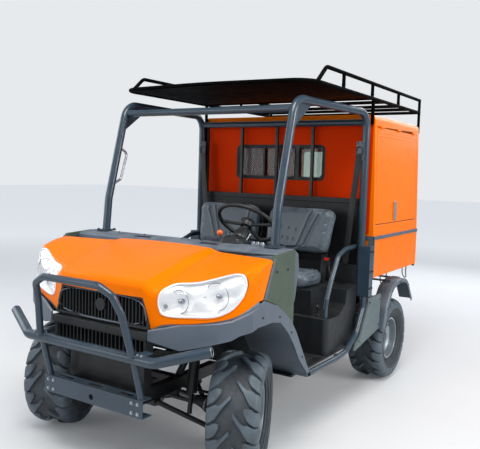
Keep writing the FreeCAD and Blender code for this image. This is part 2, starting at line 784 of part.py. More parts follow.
def make_suspension():
    """Lower arms and dampers at all four wheels."""
    rail_out = d.rail_x + d.rail_width / 2
    ball_top = axle_height - KINGPIN_HALF - d.clearance
    foot_z = ball_top - BALL_HOUSING + ARM_TUBE
    pivot_z = d.nose_rail_top - d.rail_height - PIVOT_RADIUS - d.clearance
    pieces = [cylinder(24, BALL_HOUSING, point(d.kingpin_x, 0, ball_top - BALL_HOUSING), Vector(0, 0, 1))]
    for side in (-1, 1):
        pivot = point(d.rail_x, side * 190, pivot_z)
        pieces.append(bar(pivot, point(d.kingpin_x - 6, side * 4, foot_z), ARM_TUBE))
        pieces.append(bar(pivot - Vector(0, 28, 0), pivot + Vector(0, 28, 0), PIVOT_RADIUS))
    front = fuse(pieces)
    neck_bottom = axle_height - NECK_RADIUS - d.clearance
    front_end = d.bed_rail_x + BED_RAIL_WIDTH / 2 + d.clearance + PIVOT_RADIUS
    rear = fuse([
        tube([point(front_end, 1505, 330), point(rail_out + 170, d.wheelbase - 20, neck_bottom - 22)],
             PIVOT_RADIUS),
        block((400, 600), (d.wheelbase - 50, d.wheelbase + 92), (neck_bottom - 46, neck_bottom))])
    node("suspension_arms", both_sides(group([front, rear])))
    dampers = []
    gap = d.clearance
    rear_x, rear_station = DAMPER_X, d.wheelbase + 60
    # columns: lower point, upper point
    for low, high in (
            (point(*FRONT_DAMPER_LOW),
             point(FRONT_DAMPER_TOP[0], FRONT_DAMPER_TOP[1], FRONT_DAMPER_TOP[2] - gap)),
            (point(rear_x, rear_station, neck_bottom + gap),
             point(rear_x, rear_station, d.bed_rail_top - d.bed_rail_height - gap))):
        axis = high - low
        rod = bar(low, high, 13)
        spring = bar(low + axis * 0.25, low + axis * 0.92, 30)
        dampers.append(common(fuse([rod, spring]), block((300, 500), (-400, 2500), (low.z, high.z))))
    node("dampers", both_sides(group(dampers)))


# Brush guard

def make_brush_guard():
    bar_points = [point(x, station, z) for x, station, z in (
        (-707, -363, 746), (-449, -479, 667), (449, -479, 667), (707, -363, 746))]
    hoop_points = [point(x, station, z) for x, station, z in (
        (-330, -500, 685), (-299, -541, 890), (-271, -580, 989), (-195, -597, 1031),
        (195, -597, 1031), (271, -580, 989), (299, -541, 890), (330, -500, 685))]
    pieces = [tube(bar_points, d.bar_radius, 90)]
    pieces.append(tube(hoop_points, d.hoop_radius, [0, 60, 45, 45, 45, 45, 60, 0]))
    flange = d.channel_top - d.channel_wall / 2
    for side in (-1, 1):
        pieces.append(bar(point(side * 328, -482, 650), point(side * 328, -425, flange), 17))
        pieces.append(block(sorted((side * 345, side * 395)), (-490, -420), (690, 700)))
    front, back = -d.channel_front, -d.channel_front + d.channel_depth
    channel = side_prism([
        (front, d.channel_bottom), (back, d.channel_bottom), (back, d.channel_bottom + d.channel_wall),
        (front + d.channel_wall, d.channel_bottom + d.channel_wall),
        (front + d.channel_wall, d.channel_top - d.channel_wall),
        (back, d.channel_top - d.channel_wall), (back, d.channel_top), (front, d.channel_top)],
        -d.channel_half_length, d.channel_half_length)
    hole_z = (d.channel_top + d.channel_bottom) / 2 - 8
    channel = cut(channel,
                  bar(point(0, front - 5, hole_z), point(0, front + 20, hole_z), d.tow_hole_radius))
    for x in (-215, 0, 215):
        slot = plan_prism([(x - 50, front + 24), (x + 50, front + 24), (x + 50, back - 18),
                           (x - 50, back - 18)],
                          d.channel_top - 20, d.channel_top + 5, 14)
        channel = cut(channel, slot)
    # plates that carry the channel on the ends of the rails
    for side in (-1, 1):
        pieces.append(block(sorted((side * 195, side * 245)), (back - 8, back),
                            (d.channel_bottom + 2, d.channel_top - 2)))
    node("brush_guard", fuse(pieces + [channel]))


# Hood, lamps, grille and front bodywork

# Half of the hood from the middle outwards, as side view sections.
# columns: x, rear station, rear z, brow station, brow z, nose station, nose z, low station, low z
HOOD_SECTIONS = [
    (0, 150, 1168, -280, 1066, -405, 1030, -392, 797),
    (297, 128, 1163, -300, 1060, -392, 1024, -374, 797),
    (338, 122, 1160, -260, 1050, -378, 1000, -372, 797),
    (400, 105, 1156, -255, 1052, -345, 985, -352, 838),
    (520, 90, 1153, -215, 1058, -282, 985, -300, 846),
    (640, 75, 1151, -165, 1086, -225, 1010, -242, 866),
    (720, 65, 1150, -140, 1104, -178, 1040, -190, 890),
    (765, 60, 1148, -110, 1106, -135, 1050, -140, 925),
    (785, 56, 1138, -70, 1100, -80, 1040, -60, 955),
]


# bends of the brow and the nose on the outside
HOOD_BENDS = (70, 34)


def hood_solid(inset):
    """The hood's outer form, or its inside when inset by the wall. It is open below and behind."""
    half = []
    for x, rear, rear_z, brow, brow_z, nose, nose_z, low, low_z in HOOD_SECTIONS:
        deep = low_z - (200 if inset else 0)
        back = rear + (200 if inset else 0)
        reach = x if x < 700 else x - inset * (x - 700) / (d.body_half_width - 700)
        corners = [(back, rear_z - inset), (brow + inset / 2, brow_z - inset),
                   (nose + inset, nose_z - inset / 2), (low + inset, deep), (back, deep)]
        half.append((float(reach), [(at(station), z) for station, z in corners]))
    other = [(-x, corners) for x, corners in reversed(half[1:])]
    item = document.addObject("Part::Loft", "hood_loft")
    brow_bend, nose_bend = HOOD_BENDS
    bends = [0, brow_bend - inset, nose_bend - min(inset, nose_bend - 4), 0, 0]
    item.Sections = [sketched(corners, bends, SIDE_VIEW, (x, 0, 0)) for x, corners in other + half]
    item.Solid = True
    item.Ruled = True
    return item


# columns: x, z of the lamp's outline seen from the front
LAMP_OUTLINE = [
    (385, 862), (362, 930), (372, 1000), (410, 1026), (500, 1036), (610, 1066), (700, 1094),
    (745, 1090), (765, 1050), (755, 985), (715, 915), (660, 880), (600, 866)]
LAMP_DEPTH = 45


def lamp_prism(inset=0):
    middle_x, middle_z = 565, 975
    corners = []
    for x, z in LAMP_OUTLINE:
        out = Vector(x - middle_x, z - middle_z, 0)
        out = out * (1 - inset / out.Length)
        corners.append((middle_x + out.x, middle_z + out.y))
    return front_prism(corners, -450, 20)


# columns: x, z of the grille opening's right-hand corners, top and bottom
GRILLE_CORNERS = [(294, 953), (338, 790)]


def grille_prism(inset, deep=-200):
    (top_x, top_z), (low_x, low_z) = GRILLE_CORNERS
    outline = [(-low_x + inset, low_z + inset), (low_x - inset, low_z + inset),
               (top_x - inset, top_z - inset), (-top_x + inset, top_z - inset)]
    return front_prism(outline, -480, deep)


def make_hood():
    outer = hood_solid(0)
    # cut the side ahead of the seam to the side cowl
    seam = side_prism([(60, 1200), (60, 1146), SEAM_FOOT, (SEAM_FOOT[0], 700), (400, 700), (400, 1200)],
                      740, 820)
    low = front_prism([(-344, 700), (344, 700), (338, 797), (-338, 797)], -480, 0)
    shell = cut(outer, hood_solid(d.hood_wall), both_sides(seam), low, grille_prism(0),
                both_sides(lamp_prism()))
    # hinge lugs below the rear edge
    pieces = [shell]
    for side in (-1, 1):
        low_x, high_x = sorted((side * 300, side * 340))
        lug = fuse([block((low_x, high_x), (84, 140), (1120, 1153.5)),
                    cylinder(12, 40, point(low_x, HOOD_PIVOT[0], HOOD_PIVOT[1]), Vector(1, 0, 0))])
        pin_hole = cylinder(6.3, 60, point(low_x - 10, HOOD_PIVOT[0], HOOD_PIVOT[1]), Vector(1, 0, 0))
        pieces.append(cut(lug, pin_hole))
    node("hood", fuse(pieces))
    lens = cut(common(outer, lamp_prism(d.clearance)), hood_solid(LAMP_DEPTH), seam)
    node("headlamps", both_sides(lens))
    node("upper_grille", upper_grille())


HOOD_PIVOT = (140, 1142)
# side view of the lower front end of the seam between the hood and the side cowl
SEAM_FOOT = (-34, 950)
SLAT_PITCH = 24


def upper_grille():
    """Trapezoid frame with upright slats and a plain oval blank in the middle."""
    frame = cut(grille_prism(d.clearance, -352), grille_prism(14, -300))
    band = front_prism([(-400, 700), (400, 700), (400, 1000), (-400, 1000)], -385, -352)
    backing = common(grille_prism(d.clearance, -346), front_prism(rectangle(400, 700, 1000), -358, -352))
    slats = []
    count = int(2 * GRILLE_CORNERS[1][0] / SLAT_PITCH)
    for i in range(count + 1):
        x = -GRILLE_CORNERS[1][0] + i * SLAT_PITCH
        slats.append(block((x, x + 8), (-378, -353), (700, 1000)))
    blank = cylinder(34, 40, point(0, -388, 880), Vector(0, 1, 0))
    return fuse([common(frame, band), backing, blank, common(group(slats), grille_prism(10, -300))])


def make_fascia():
    """Bumper strip and slatted lower grille on the front of the radiator."""
    strip = block((-344, 344), (-408, -340), (748, 782))
    frame = cut(block((-330, 330), (-398, -340), (600, 749)),
                block((-312, 312), (-399, -352), (614, 736)))
    slats = []
    for i in range(23):
        x = -312 + i * 28
        slats.append(block((x, x + 9), (-388, -350), (610, 740)))
    node("lower_grille", fuse([strip, frame] + slats))
    node("radiator", block((-270, 270), (-340 + d.clearance, -280), (d.nose_rail_top + d.clearance, 770)))


# Plan view of the flare's outer face, columns: x, station
FLARE_PLAN = [(348, -412), (420, -378), (600, -292), (725, -226), (790, -140), (800, -20), (800, 540)]
# Side view of the flare's edges, columns: station, z
FLARE_LOWER = [(-420, 752), (-340, 706), (-262, 748), (-190, 792), (-90, 820), (40, 824), (134, 806),
               (225, 731), (296, 649), (369, 547), (475, 442)]
FLARE_UPPER = [(505, 442), (400, 600), (318, 722), (250, 800), (170, 858), (90, 905), (-34, 948),
               (-130, 912), (-190, 880), (-250, 852), (-340, 832), (-420, 790)]


# inner edge of the wheel liner
LINER_INSIDE = 470


def flare_band(inset, z_low, z_high):
    """Plan view wall of the flare, open towards the middle."""
    outer = [(x, station) for x, station in FLARE_PLAN]
    inner = []
    for x, station in reversed(outer):
        inner.append((x - inset * (0.25 if station < -250 else 1),
                      station + inset * (1 if station < -100 else 0)))
    inner[0] = (outer[-1][0] - inset, outer[-1][1])
    return plan_prism(outer + inner, z_low, z_high)


def make_front_fenders():
    """Flares over the front wheels with a liner that comes down to the floor."""
    profile = side_prism(FLARE_LOWER + FLARE_UPPER, 300, 820)
    wall = common(flare_band(d.flare_wall, 400, 1000), profile)
    foot = floor_top + d.clearance
    lower = [(station, z + 2) for station, z in FLARE_LOWER[2:]]
    upper = [(station + 3, z + 9) for station, z in reversed(FLARE_LOWER[2:])]
    toe = [(493, foot), (505, foot)]
    liner = side_prism(lower + toe + upper, LINER_INSIDE, 792)
    inside = plan_prism([(300, -380), (420, -374), (600, -288), (722, -222), (788, -140), (795, 540),
                         (300, 540)],
                        400, 1000)
    node("front_fenders", both_sides(fuse([wall, common(liner, inside)])))


# Cabin

# Side view of the dash, columns: station, z. The inside follows the outside at the wall's thickness.
DASH_OUTSIDE = [(166, 1118), (172, 1158), (200, 1170), (320, 1178), (378, 1148), (392, 1058), (352, 880)]
DASH_INSIDE = [(338, 880), (372, 1050), (360, 1132), (312, 1162), (204, 1154), (188, 1140), (182, 1118)]


def make_cowl():
    """Dash and windscreen base, from the hood's rear edge back to the dash face."""
    half = d.body_half_width - d.cowl_wall - d.clearance
    pieces = [side_prism(DASH_OUTSIDE + DASH_INSIDE, -half, half)]
    for side in (-1, 1):
        ends = sorted((side * (half - 18), side * half))
        pieces.append(side_prism(DASH_INSIDE, *ends))
        low_x, high_x = sorted((side * 345, side * 365))
        pieces.append(block((low_x, high_x), (130, 184), (1119, 1152)))
        start = low_x - 44 if side > 0 else low_x
        pieces.append(bar(point(start, *HOOD_PIVOT), point(start + 64, *HOOD_PIVOT), 6))
    node("dash", fuse(pieces))


def make_side_cowls():
    """Smooth side panels between the hood, the flares and the door opening."""
    gap = d.panel_gap
    edge = [(station, z + gap) for station, z in FLARE_UPPER[2:6]]
    foot = (SEAM_FOOT[0] + gap + 1, SEAM_FOOT[1] + 1)
    outline = [(303, 745)] + edge + [foot, (66, 1146), (80, 1164), (303, 1176)]
    panel = side_prism(outline, d.body_half_width - d.cowl_wall, d.body_half_width)
    node("side_cowls", both_sides(panel))


def make_floor():
    """Ribbed floor on the frame rails, with a toe board between the wheel liners."""
    top, bottom = floor_top, floor_bottom
    front, back = d.floor_front, d.seat_front + 480
    pan = block((-d.floor_half_width, d.floor_half_width), (front - 6, back), (bottom, top))
    under_dash = DASH_OUTSIDE[-1][1] - d.clearance
    board = side_prism([(front - 6, top - 1), (front + 4, top - 1), (315, 660), (352, under_dash),
                        (338, under_dash), (301, 655)], -LINER_INSIDE + d.clearance,
                        LINER_INSIDE - d.clearance)
    ribs = []
    for i in range(18):
        x = -640 + i * 74
        ribs.append(block((x, x + 22), (front + 40, d.seat_front - 20), (top - 1, top + 4)))
    node("floor", fuse([pan, board] + ribs))


def make_seat_base():
    front, top = d.seat_front, d.seat_base_top
    floor = floor_top + d.clearance
    base = plan_prism([(-700, front), (700, front), (700, front + 480), (-700, front + 480)],
                      floor, top, [40, 40, 0, 0])
    pedestal = block((-560, 560), (front + 40, front + 480), (top - 1, d.pedestal_top))
    riser = side_prism([(front + 190, top - 1), (front + 290, 712), (front + 310, 808),
                        (front + 480, 824),
                        (front + 480, top - 1)], 560, 700)
    # leaning flat bars that carry the seat backs
    gap = d.back_thickness + d.clearance
    bars = []
    for x in (-500, -140, 100, 460):
        bars.append(side_prism([(back_station(800) + gap, 800), (back_station(800) + gap + 14, 800),
                                (back_station(1300) + gap + 14, 1300), (back_station(1300) + gap, 1300)],
                                x, x + 40))
    node("seat_base", fuse([base, pedestal, riser, mirrored(riser)] + bars))


# Side view of a seat back: station of its front face at two heights
BACK_LOW = (1218, 1032)
BACK_HIGH = (1286, 1368)


def back_station(z):
    """Station of the seat back's front face at a height."""
    share = (z - BACK_LOW[1]) / (BACK_HIGH[1] - BACK_LOW[1])
    return BACK_LOW[0] + share * (BACK_HIGH[0] - BACK_LOW[0])


def make_seats():
    """Two cushions and two leaning backs, each a plain block with rounded corners."""
    low = d.pedestal_top + d.clearance
    half, split = d.seat_half_width, d.seat_split / 2
    front = d.seat_front
    cushion = plan_prism([(split, front), (half, front), (half, front + 330), (split, front + 330)],
                         low, low + d.cushion_thickness, [30, 60, 30, 30])
    node("seat_cushion_left", cushion)
    node("seat_cushion_right", mirrored(cushion))
    low_z, high_z = BACK_LOW[1], BACK_HIGH[1]
    thick = d.back_thickness
    lean = [(back_station(low_z), low_z), (back_station(low_z) + thick, low_z),
            (back_station(high_z) + thick, high_z), (back_station(high_z), high_z)]
    back = side_prism(lean, split, half, [30, 10, 30, 45])
    outline = front_prism([(split, low_z), (half, low_z), (half, high_z), (split, high_z)], 1150, 1500,
                          [40, 40, 70, 70])
    back = common(back, outline)
    node("seat_back_left", back)
    node("seat_back_right", mirrored(back))


def make_rear_screen():
    """Barred screen behind the seats, with a solid panel below it."""
    front = d.rear_pillar_station + d.pillar_radius + d.clearance
    back = front + 24
    half = PILLAR_PLATE_INSIDE - d.clearance
    pieces = [block((-half, half), (front, back), (1952, 1988)),
              block((-half, half), (front, back), (1392, 1428))]
    # columns: lower x, width, low, high
    for x, width, low, high in ((-half, 35, 760, 1988), (half - 35, 35, 760, 1988),
                                (-352, 22, 1400, 1970),
                                (-36, 22, 1400, 1970), (267, 22, 1400, 1970)):
        pieces.append(block((x, x + width), (front, back), (low, high)))
    pieces.append(block((-half + 10, half - 10), (front + 4, front + 16), (840, 1410)))
    node("rear_screen", fuse(pieces))


# inner face and underside of the plate beside each rear pillar
PILLAR_PLATE_INSIDE = 700
PILLAR_PLATE_LOW = 742


def make_rops():
    """Roll-over frame: two bent side tubes, cross tubes, gussets and the grab handle."""
    top = d.frame_tube_top
    pieces = []
    for side in (-1, 1):
        x = side * d.pillar_x
        rear_x = side * d.rear_pillar_x
        path = [point(x, 312, d.dash_top + 6), point(x, 330, 1390), point(x, 470, 1935),
                point(x, 545, top),
                point(rear_x, 1375, top), point(rear_x, d.rear_pillar_station, 1920),
                point(rear_x, d.rear_pillar_station, 745)]
        pieces.append(tube(path, d.pillar_radius, [0, 150, 60, 60, 60, 60, 0]))
        pieces.append(block(sorted((x - 45, x + 45)), (262, 362), (d.dash_top, d.dash_top + 8)))
        gusset = side_prism([(452, 1870), (478, 1950), (556, top), (690, top), (690, top - 18)], x - 4,
                            x + 4)
        pieces.append(gusset)
        pieces.append(block(sorted((side * PILLAR_PLATE_INSIDE, side * 785)), (1430, 1500),
                            (PILLAR_PLATE_LOW, 1098)))
        plate = block(sorted((side * 645, side * 690)), (1440, 1446), (1700, 1830))
        pieces.append(plate)
    pieces.append(bar(point(-d.pillar_x, 452, 1900), point(d.pillar_x, 452, 1900), d.pillar_radius - 3))
    pieces.append(bar(point(-d.rear_pillar_x, d.rear_pillar_station, 1900),
                      point(d.rear_pillar_x, d.rear_pillar_station, 1900), d.pillar_radius - 3))
    handle = tube([point(-d.pillar_x, 352, 1480), point(-d.pillar_x, 440, 1520),
                   point(-d.pillar_x, 500, 1700),
                   point(-d.pillar_x, 415, 1740)], 9, [0, 25, 25, 0])
    pieces.append(handle)
    node("roll_over_frame", fuse(pieces))


def make_side_guards():
    """Lower guard tubes along the door openings and the hip bars beside the seats."""
    station = d.rear_pillar_station - 3
    foot = PILLAR_PLATE_LOW - d.clearance
    lower = [point(740, station, z) for station, z in (
        (station, foot), (station, 660), (1345, 490), (1164, 402), (1000, 392), (607, 398))]
    radius = d.side_tube_radius - 3
    hip_x = d.rear_pillar_x - d.pillar_radius - d.clearance - radius
    hip = [point(hip_x, station, z) for station, z in (
        (station, 1090), (1277, 1086), (1163, 1048), (1065, 897), (1000, 773), (985, 715),
        (985, d.seat_base_top + d.clearance))]
    guard = [tube(lower, d.side_tube_radius, [0, 60, 120, 120, 100, 0])]
    # tabs that hold the tube to the edge of the floor
    for tab in (640, 1080):
        guard.append(block((d.floor_half_width + d.clearance, 735), (tab - 20, tab + 20),
                           (floor_bottom - 8, floor_bottom)))
    hip_bar = tube(hip, radius, [0, 60, 60, 90, 40, 20, 0])
    node("side_guards", both_sides(group([fuse(guard), hip_bar])))


# Side view of the rear flare's outer skin, columns: station, z, bend radius
REAR_FLARE = [(1736, 455, 0), (1782, 610, 150), (1890, 752, 160), (2070, 803, 400), (2262, 770, 160),
              (2405, 590, 0)]
# Section of the rear flare seen from behind, columns: x, height over the skin's line
FLARE_SECTION = [(690, -8), (786, -8), (794, -14), (796, -34), (803, -34), (803, -10), (794, 0), (690, 0)]


def make_rear_bodywork():
    """Side panels below the bed's front and the flares over the rear wheels."""
    panel = side_prism([(1262, 391), (1727, 464), (1729, 722), (1478, 722), (1474, 650), (1362, 470),
                        (1290, 435)],
                       752, 770)
    # two raised outlines, one inside the other
    ridges = []
    for outline in ([(1335, 424), (1706, 482), (1708, 704), (1498, 705), (1493, 645), (1384, 470)],
                    [(1436, 562), (1554, 582), (1554, 686), (1514, 686), (1508, 640), (1466, 585)]):
        outer = wire([point(769, station, z) for station, z in outline], 8)
        ridge = Part.Face([outer, outer.makeOffset2D(-12)])
        ridges.append(made("panel_ridge", ridge.extrude(Vector(6, 0, 0))))
    flange = block((d.floor_half_width + d.clearance, 753), (1290, 1400),
                   (floor_bottom, floor_bottom + 8))
    node("rear_side_panels", both_sides(fuse([panel, flange] + ridges)))
    path = wire([point(690, station, z) for station, z, _ in REAR_FLARE],
                [bend for _, _, bend in REAR_FLARE], False)
    start = path.Edges[0].tangentAt(path.Edges[0].FirstParameter)
    outward = Vector(0, -start.z, start.y)
    flare_start = point(0, REAR_FLARE[0][0], REAR_FLARE[0][1])
    corners = [flare_start + Vector(x, 0, 0) + outward * height for x, height in FLARE_SECTION]
    flare = made("flare_skin", path.makePipeShell([wire(corners)], True, True))
    arms = []
    for station in (1960, 2150):
        arms.append(block((d.bed_rail_x + BED_RAIL_WIDTH / 2 + d.clearance, 760),
                          (station, station + 30), (776, 788)))
        arms.append(block((700, 760), (station, station + 30), (776, 792)))
    node("rear_fenders", both_sides(fuse([flare] + arms)))


def make_controls():
    """Steering column and levers. What stands on the dash ends at its face."""
    dash_outline = wire([point(-800, station, z) for station, z in DASH_OUTSIDE])
    dash_face = Part.Face(dash_outline.makeOffset2D(d.clearance))
    dash_body = made("dash_body", dash_face.extrude(Vector(1600, 0, 0)))
    column = bar(COLUMN_TOP - COLUMN_AXIS * 260, COLUMN_TOP - COLUMN_AXIS * (29 + d.clearance), 22)
    node("steering_column", cut(column, dash_body))
    dash_lever = fuse([bar(point(255, 385, 1100), point(215, 400, 1215), 5),
                       ball(17, point(214, 401, 1222))])
    foot = d.seat_base_top + d.clearance
    seat_lever = fuse([bar(point(600, 1010, foot), point(600, 1010, foot + 12), 11),
                       bar(point(600, 1010, foot + 6), point(600, 1000, 715), 6),
                       ball(15, point(600, 999, 720))])
    node("levers", group([cut(dash_lever, dash_body), seat_lever]))


COLUMN_AXIS = Vector(0, 0.62, 0.785).normalize()
COLUMN_TOP = point(345, 500, 1285)


def make_steering_wheel():
    ring = document.addObject("Part::Torus", "wheel_ring")
    bind(ring, Radius1=d.steering_wheel_radius, Radius2=d.steering_wheel_grip)
    put(ring, COLUMN_TOP, Rotation(Vector(0, 0, 1), COLUMN_AXIS))
    hub = cylinder(38, 34, COLUMN_TOP - COLUMN_AXIS * 29, COLUMN_AXIS)
    across = Vector(1, 0, 0)
    down = COLUMN_AXIS.cross(across)
    spokes = []
    for direction in (across, across * -1, down):
        reach = direction * (d.steering_wheel_radius - 7)
        spokes.append(bar(COLUMN_TOP - COLUMN_AXIS * 12 + direction * 25, COLUMN_TOP + reach, 10))
    node("steering_wheel", fuse([ring, hub] + spokes))


def make_tie_rods():
    """Steering bar between the two steering arms, lying just above them."""
    collar = 4
    z = axle_height + STEER_ARM_TOP + d.clearance + STEER_BAR_RADIUS + collar
    turn = math.radians(d.steer_rest)
    ends = []
    for side in (-1, 1):
        arm_x, arm_y = side * STEER_ARM_X, STEER_ARM
        x = side * d.kingpin_x + arm_x * math.cos(turn) - arm_y * math.sin(turn)
        y = at(0) + arm_x * math.sin(turn) + arm_y * math.cos(turn)
        ends.append(Vector(x, y, z))
    pieces = [bar(ends[0], ends[1], STEER_BAR_RADIUS)]
    for end in ends:
        pieces.append(cylinder(14, 2 * (STEER_BAR_RADIUS + collar),
                                        end - Vector(0, 0, STEER_BAR_RADIUS + collar), Vector(0, 0, 1)))
    node("tie_rods", fuse(pieces))


HINGE_RADIUS = 6
HINGE_PIN = 3
HINGE_OFFSET = 7
KNUCKLE_LENGTH = 40
EAR_LENGTH = 14


def hinge(pivot, axis, inward, moving):
    """Surface hinge about 'pivot': fixed ears with their pin, and the knuckle that turns between them.

    'inward' points into the panels and 'moving' points along them to the one that opens.
    """
    def tab(start, span, direction):
        near = pivot + axis * start + direction * 0.6
        far = pivot + axis * (start + span) + direction * 14 + inward * 14
        low = [min(a, b) for a, b in zip(near, far)]
        return local_box([abs(a - b) for a, b in zip(near, far)], low)

    half = KNUCKLE_LENGTH / 2
    fixed = [cylinder(HINGE_PIN, KNUCKLE_LENGTH + 2 * EAR_LENGTH, pivot - axis * (half + EAR_LENGTH),
                      axis)]
    for start in (-half - EAR_LENGTH, half):
        fixed.append(cylinder(HINGE_RADIUS, EAR_LENGTH, pivot + axis * start, axis))
        fixed.append(tab(start, EAR_LENGTH, moving * -1))
    span = KNUCKLE_LENGTH - 1
    knuckle = fuse([cylinder(HINGE_RADIUS, span, pivot - axis * (span / 2), axis),
                    tab(-span / 2, span, moving)])
    bore = cylinder(HINGE_PIN + d.clearance, span + 2, pivot - axis * (span / 2 + 1), axis)
    return fuse(fixed), cut(knuckle, bore)


# Cargo bed, tool box and rack

def make_bed():
    half, wall = d.bed_half_width, d.bed_wall
    front, rear = d.bed_front, d.bed_rear
    outer = block((-half, half), (front, rear), (d.bed_bottom, d.bed_top))
    inner = block((-half + wall, half - wall), (front + wall, rear + 5),
                  (d.bed_bottom + d.bed_floor, d.bed_top + 5))
    tub = cut(outer, inner)
    ears = []
    for side in (-1, 1):
        low, high = sorted((side * (d.bed_rail_x + 32), side * (d.bed_rail_x + 62)))
        ear = side_prism([(d.bed_pivot_station - 30, d.bed_bottom + 2),
                          (d.bed_pivot_station - 24, d.bed_pivot_height - 20),
                          (d.bed_pivot_station + 24, d.bed_pivot_height - 20),
                          (d.bed_pivot_station + 30, d.bed_bottom + 2)],
                         low, high)
        bore = cylinder(d.pin_radius + d.clearance, 60,
                        point(low - 10, d.bed_pivot_station, d.bed_pivot_height), Vector(1, 0, 0))
        ears.append(cut(ear, bore))
    lift = []
    for x in (-34, 24):
        lift.append(block((x, x + 10), (d.lift_eye_station - 24, d.lift_eye_station + 24),
                          (d.lift_eye_height - 22, d.bed_bottom + 2)))
    pin = cylinder(8, 56, point(-28, d.lift_eye_station, d.lift_eye_height), Vector(1, 0, 0))
    floor_top = d.bed_bottom + d.bed_floor
    gate = [block((-half + wall + d.panel_gap, half - wall - d.panel_gap), (rear - 30, rear),
                  (floor_top + d.panel_gap, d.bed_top - 25))]
    for x in (-480, 0, 480):
        fixed, knuckle = hinge(point(x, rear + HINGE_OFFSET, floor_top + d.panel_gap / 2),
                               Vector(1, 0, 0),
                               Vector(0, -1, 0), Vector(0, 0, 1))
        ears.append(fixed)
        gate.append(knuckle)
    node("bed_tub", fuse([tub, pin] + ears + lift))
    node("tailgate", fuse(gate))


def box_section(inset, z_low):
    """Front view outline of the tool box, inset by a wall."""
    low_x = d.bed_half_width - 2.5 - inset
    top_x = low_x - d.box_taper
    return [(-low_x, z_low), (low_x, z_low), (top_x, d.box_top - inset), (-top_x, d.box_top - inset)]


def box_solid(inset, front, rear, z_low=None):
    base = d.bed_top + d.clearance if z_low is None else z_low
    corner = max(d.box_corner - inset, 5)
    return front_prism(box_section(inset, base), front, rear, [0, 0, corner, corner])


def box_shell():
    outer = box_solid(0, d.bed_front, d.bed_rear)
    inner = box_solid(d.box_wall, d.bed_front + d.box_wall, d.bed_rear - d.box_wall, d.bed_top - 20)
    return cut(outer, inner)


def box_side(z):
    """Half width of the tool box at a height."""
    slope = d.box_taper / (d.box_top - d.bed_top - d.clearance)
    return d.bed_half_width - 2.5 - slope * (z - d.bed_top - d.clearance)


def door_prism(gap):
    return block((600, 820), (d.door_front + gap, d.door_rear - gap),
                 (d.door_bottom + gap, d.door_top - gap))


WINDOW = (-415, 363, 1543, 1811)


def window_prism(inset, front, rear, radius=40):
    low_x, high_x, low_z, high_z = WINDOW
    outline = [(low_x + inset, low_z + inset), (high_x - inset, low_z + inset),
               (high_x - inset, high_z - inset), (low_x + inset, high_z - inset)]
    return front_prism(outline, front, rear, radius)


HATCH_LOW = 1200
HATCH_HIGH = 1930
HATCH_WINDOW = (-330, 330, 1480, 1800)


def make_box():
    shell = box_shell()
    front = (d.bed_front - 5, d.bed_front + d.box_wall + 5)
    rear = (d.bed_rear - d.box_wall - 5, d.bed_rear + 5)
    hatch_hole = front_prism(rectangle(d.hatch_half_width, HATCH_LOW, HATCH_HIGH), *rear)
    body = cut(shell, both_sides(door_prism(0)), window_prism(12, *front), hatch_hole)
    gap = d.panel_gap
    fixed_parts = []
    door_parts = [common(shell, door_prism(gap))]
    for station in (d.door_front + 90, (d.door_front + d.door_rear) / 2, d.door_rear - 90):
        fixed, knuckle = hinge(point(box_side(d.door_top) + HINGE_OFFSET, station, d.door_top),
                               Vector(0, 1, 0),
                               Vector(-1, 0, 0), Vector(0, 0, -1))
        fixed_parts += [fixed, mirrored(fixed)]
        door_parts.append(knuckle)
    # paddle latch
    latch_x = box_side(1330)
    door_parts.append(block((latch_x - 8, latch_x + 9), (1942, 1980), (1266, 1396)))
    door = fuse(door_parts)
    node("side_door_left", door)
    node("side_door_right", mirrored(door))
    hatch = front_prism(rectangle(d.hatch_half_width - gap, HATCH_LOW + gap, HATCH_HIGH - gap),
                        d.bed_rear - d.box_wall, d.bed_rear, 15)
    hatch_parts = []
    for x in (-420, 0, 420):
        fixed, knuckle = hinge(point(x, d.bed_rear + HINGE_OFFSET, HATCH_HIGH), Vector(1, 0, 0),
                               Vector(0, -1, 0), Vector(0, 0, -1))
        fixed_parts.append(fixed)
        hatch_parts.append(knuckle)
    node("tool_box", fuse([body] + fixed_parts))
    low_x, high_x, low_z, high_z = HATCH_WINDOW
    view = front_prism([(low_x, low_z), (high_x, low_z), (high_x, high_z), (low_x, high_z)], *rear, 35)
    node("rear_hatch", fuse([cut(hatch, view)] + hatch_parts))
    c = d.clearance
    pane_corners = [(low_x + c, low_z + c), (high_x - c, low_z + c), (high_x - c, high_z - c),
                    (low_x + c, high_z - c)]
    pane = front_prism(pane_corners, d.bed_rear - d.box_wall + 8, d.bed_rear - d.box_wall + 14, 34.7)
    node("hatch_glass", pane)
    face_front = d.bed_front - 5
    collar = window_prism(12 + d.clearance, d.bed_front - 1, d.bed_front + d.box_wall)
    frame = cut(fuse([window_prism(0, face_front, d.bed_front), collar]),
                window_prism(26, face_front - 1, d.bed_front + d.box_wall + 1, 26))
    post = block((110, 150), (face_front, d.bed_front + 10), (WINDOW[2] + 14, WINDOW[3] - 14))
    node("window_frame", fuse([frame, post]))
    glass = window_prism(26 + d.clearance, d.bed_front + 12, d.bed_front + 17, 25)
    node("window_glass", glass)


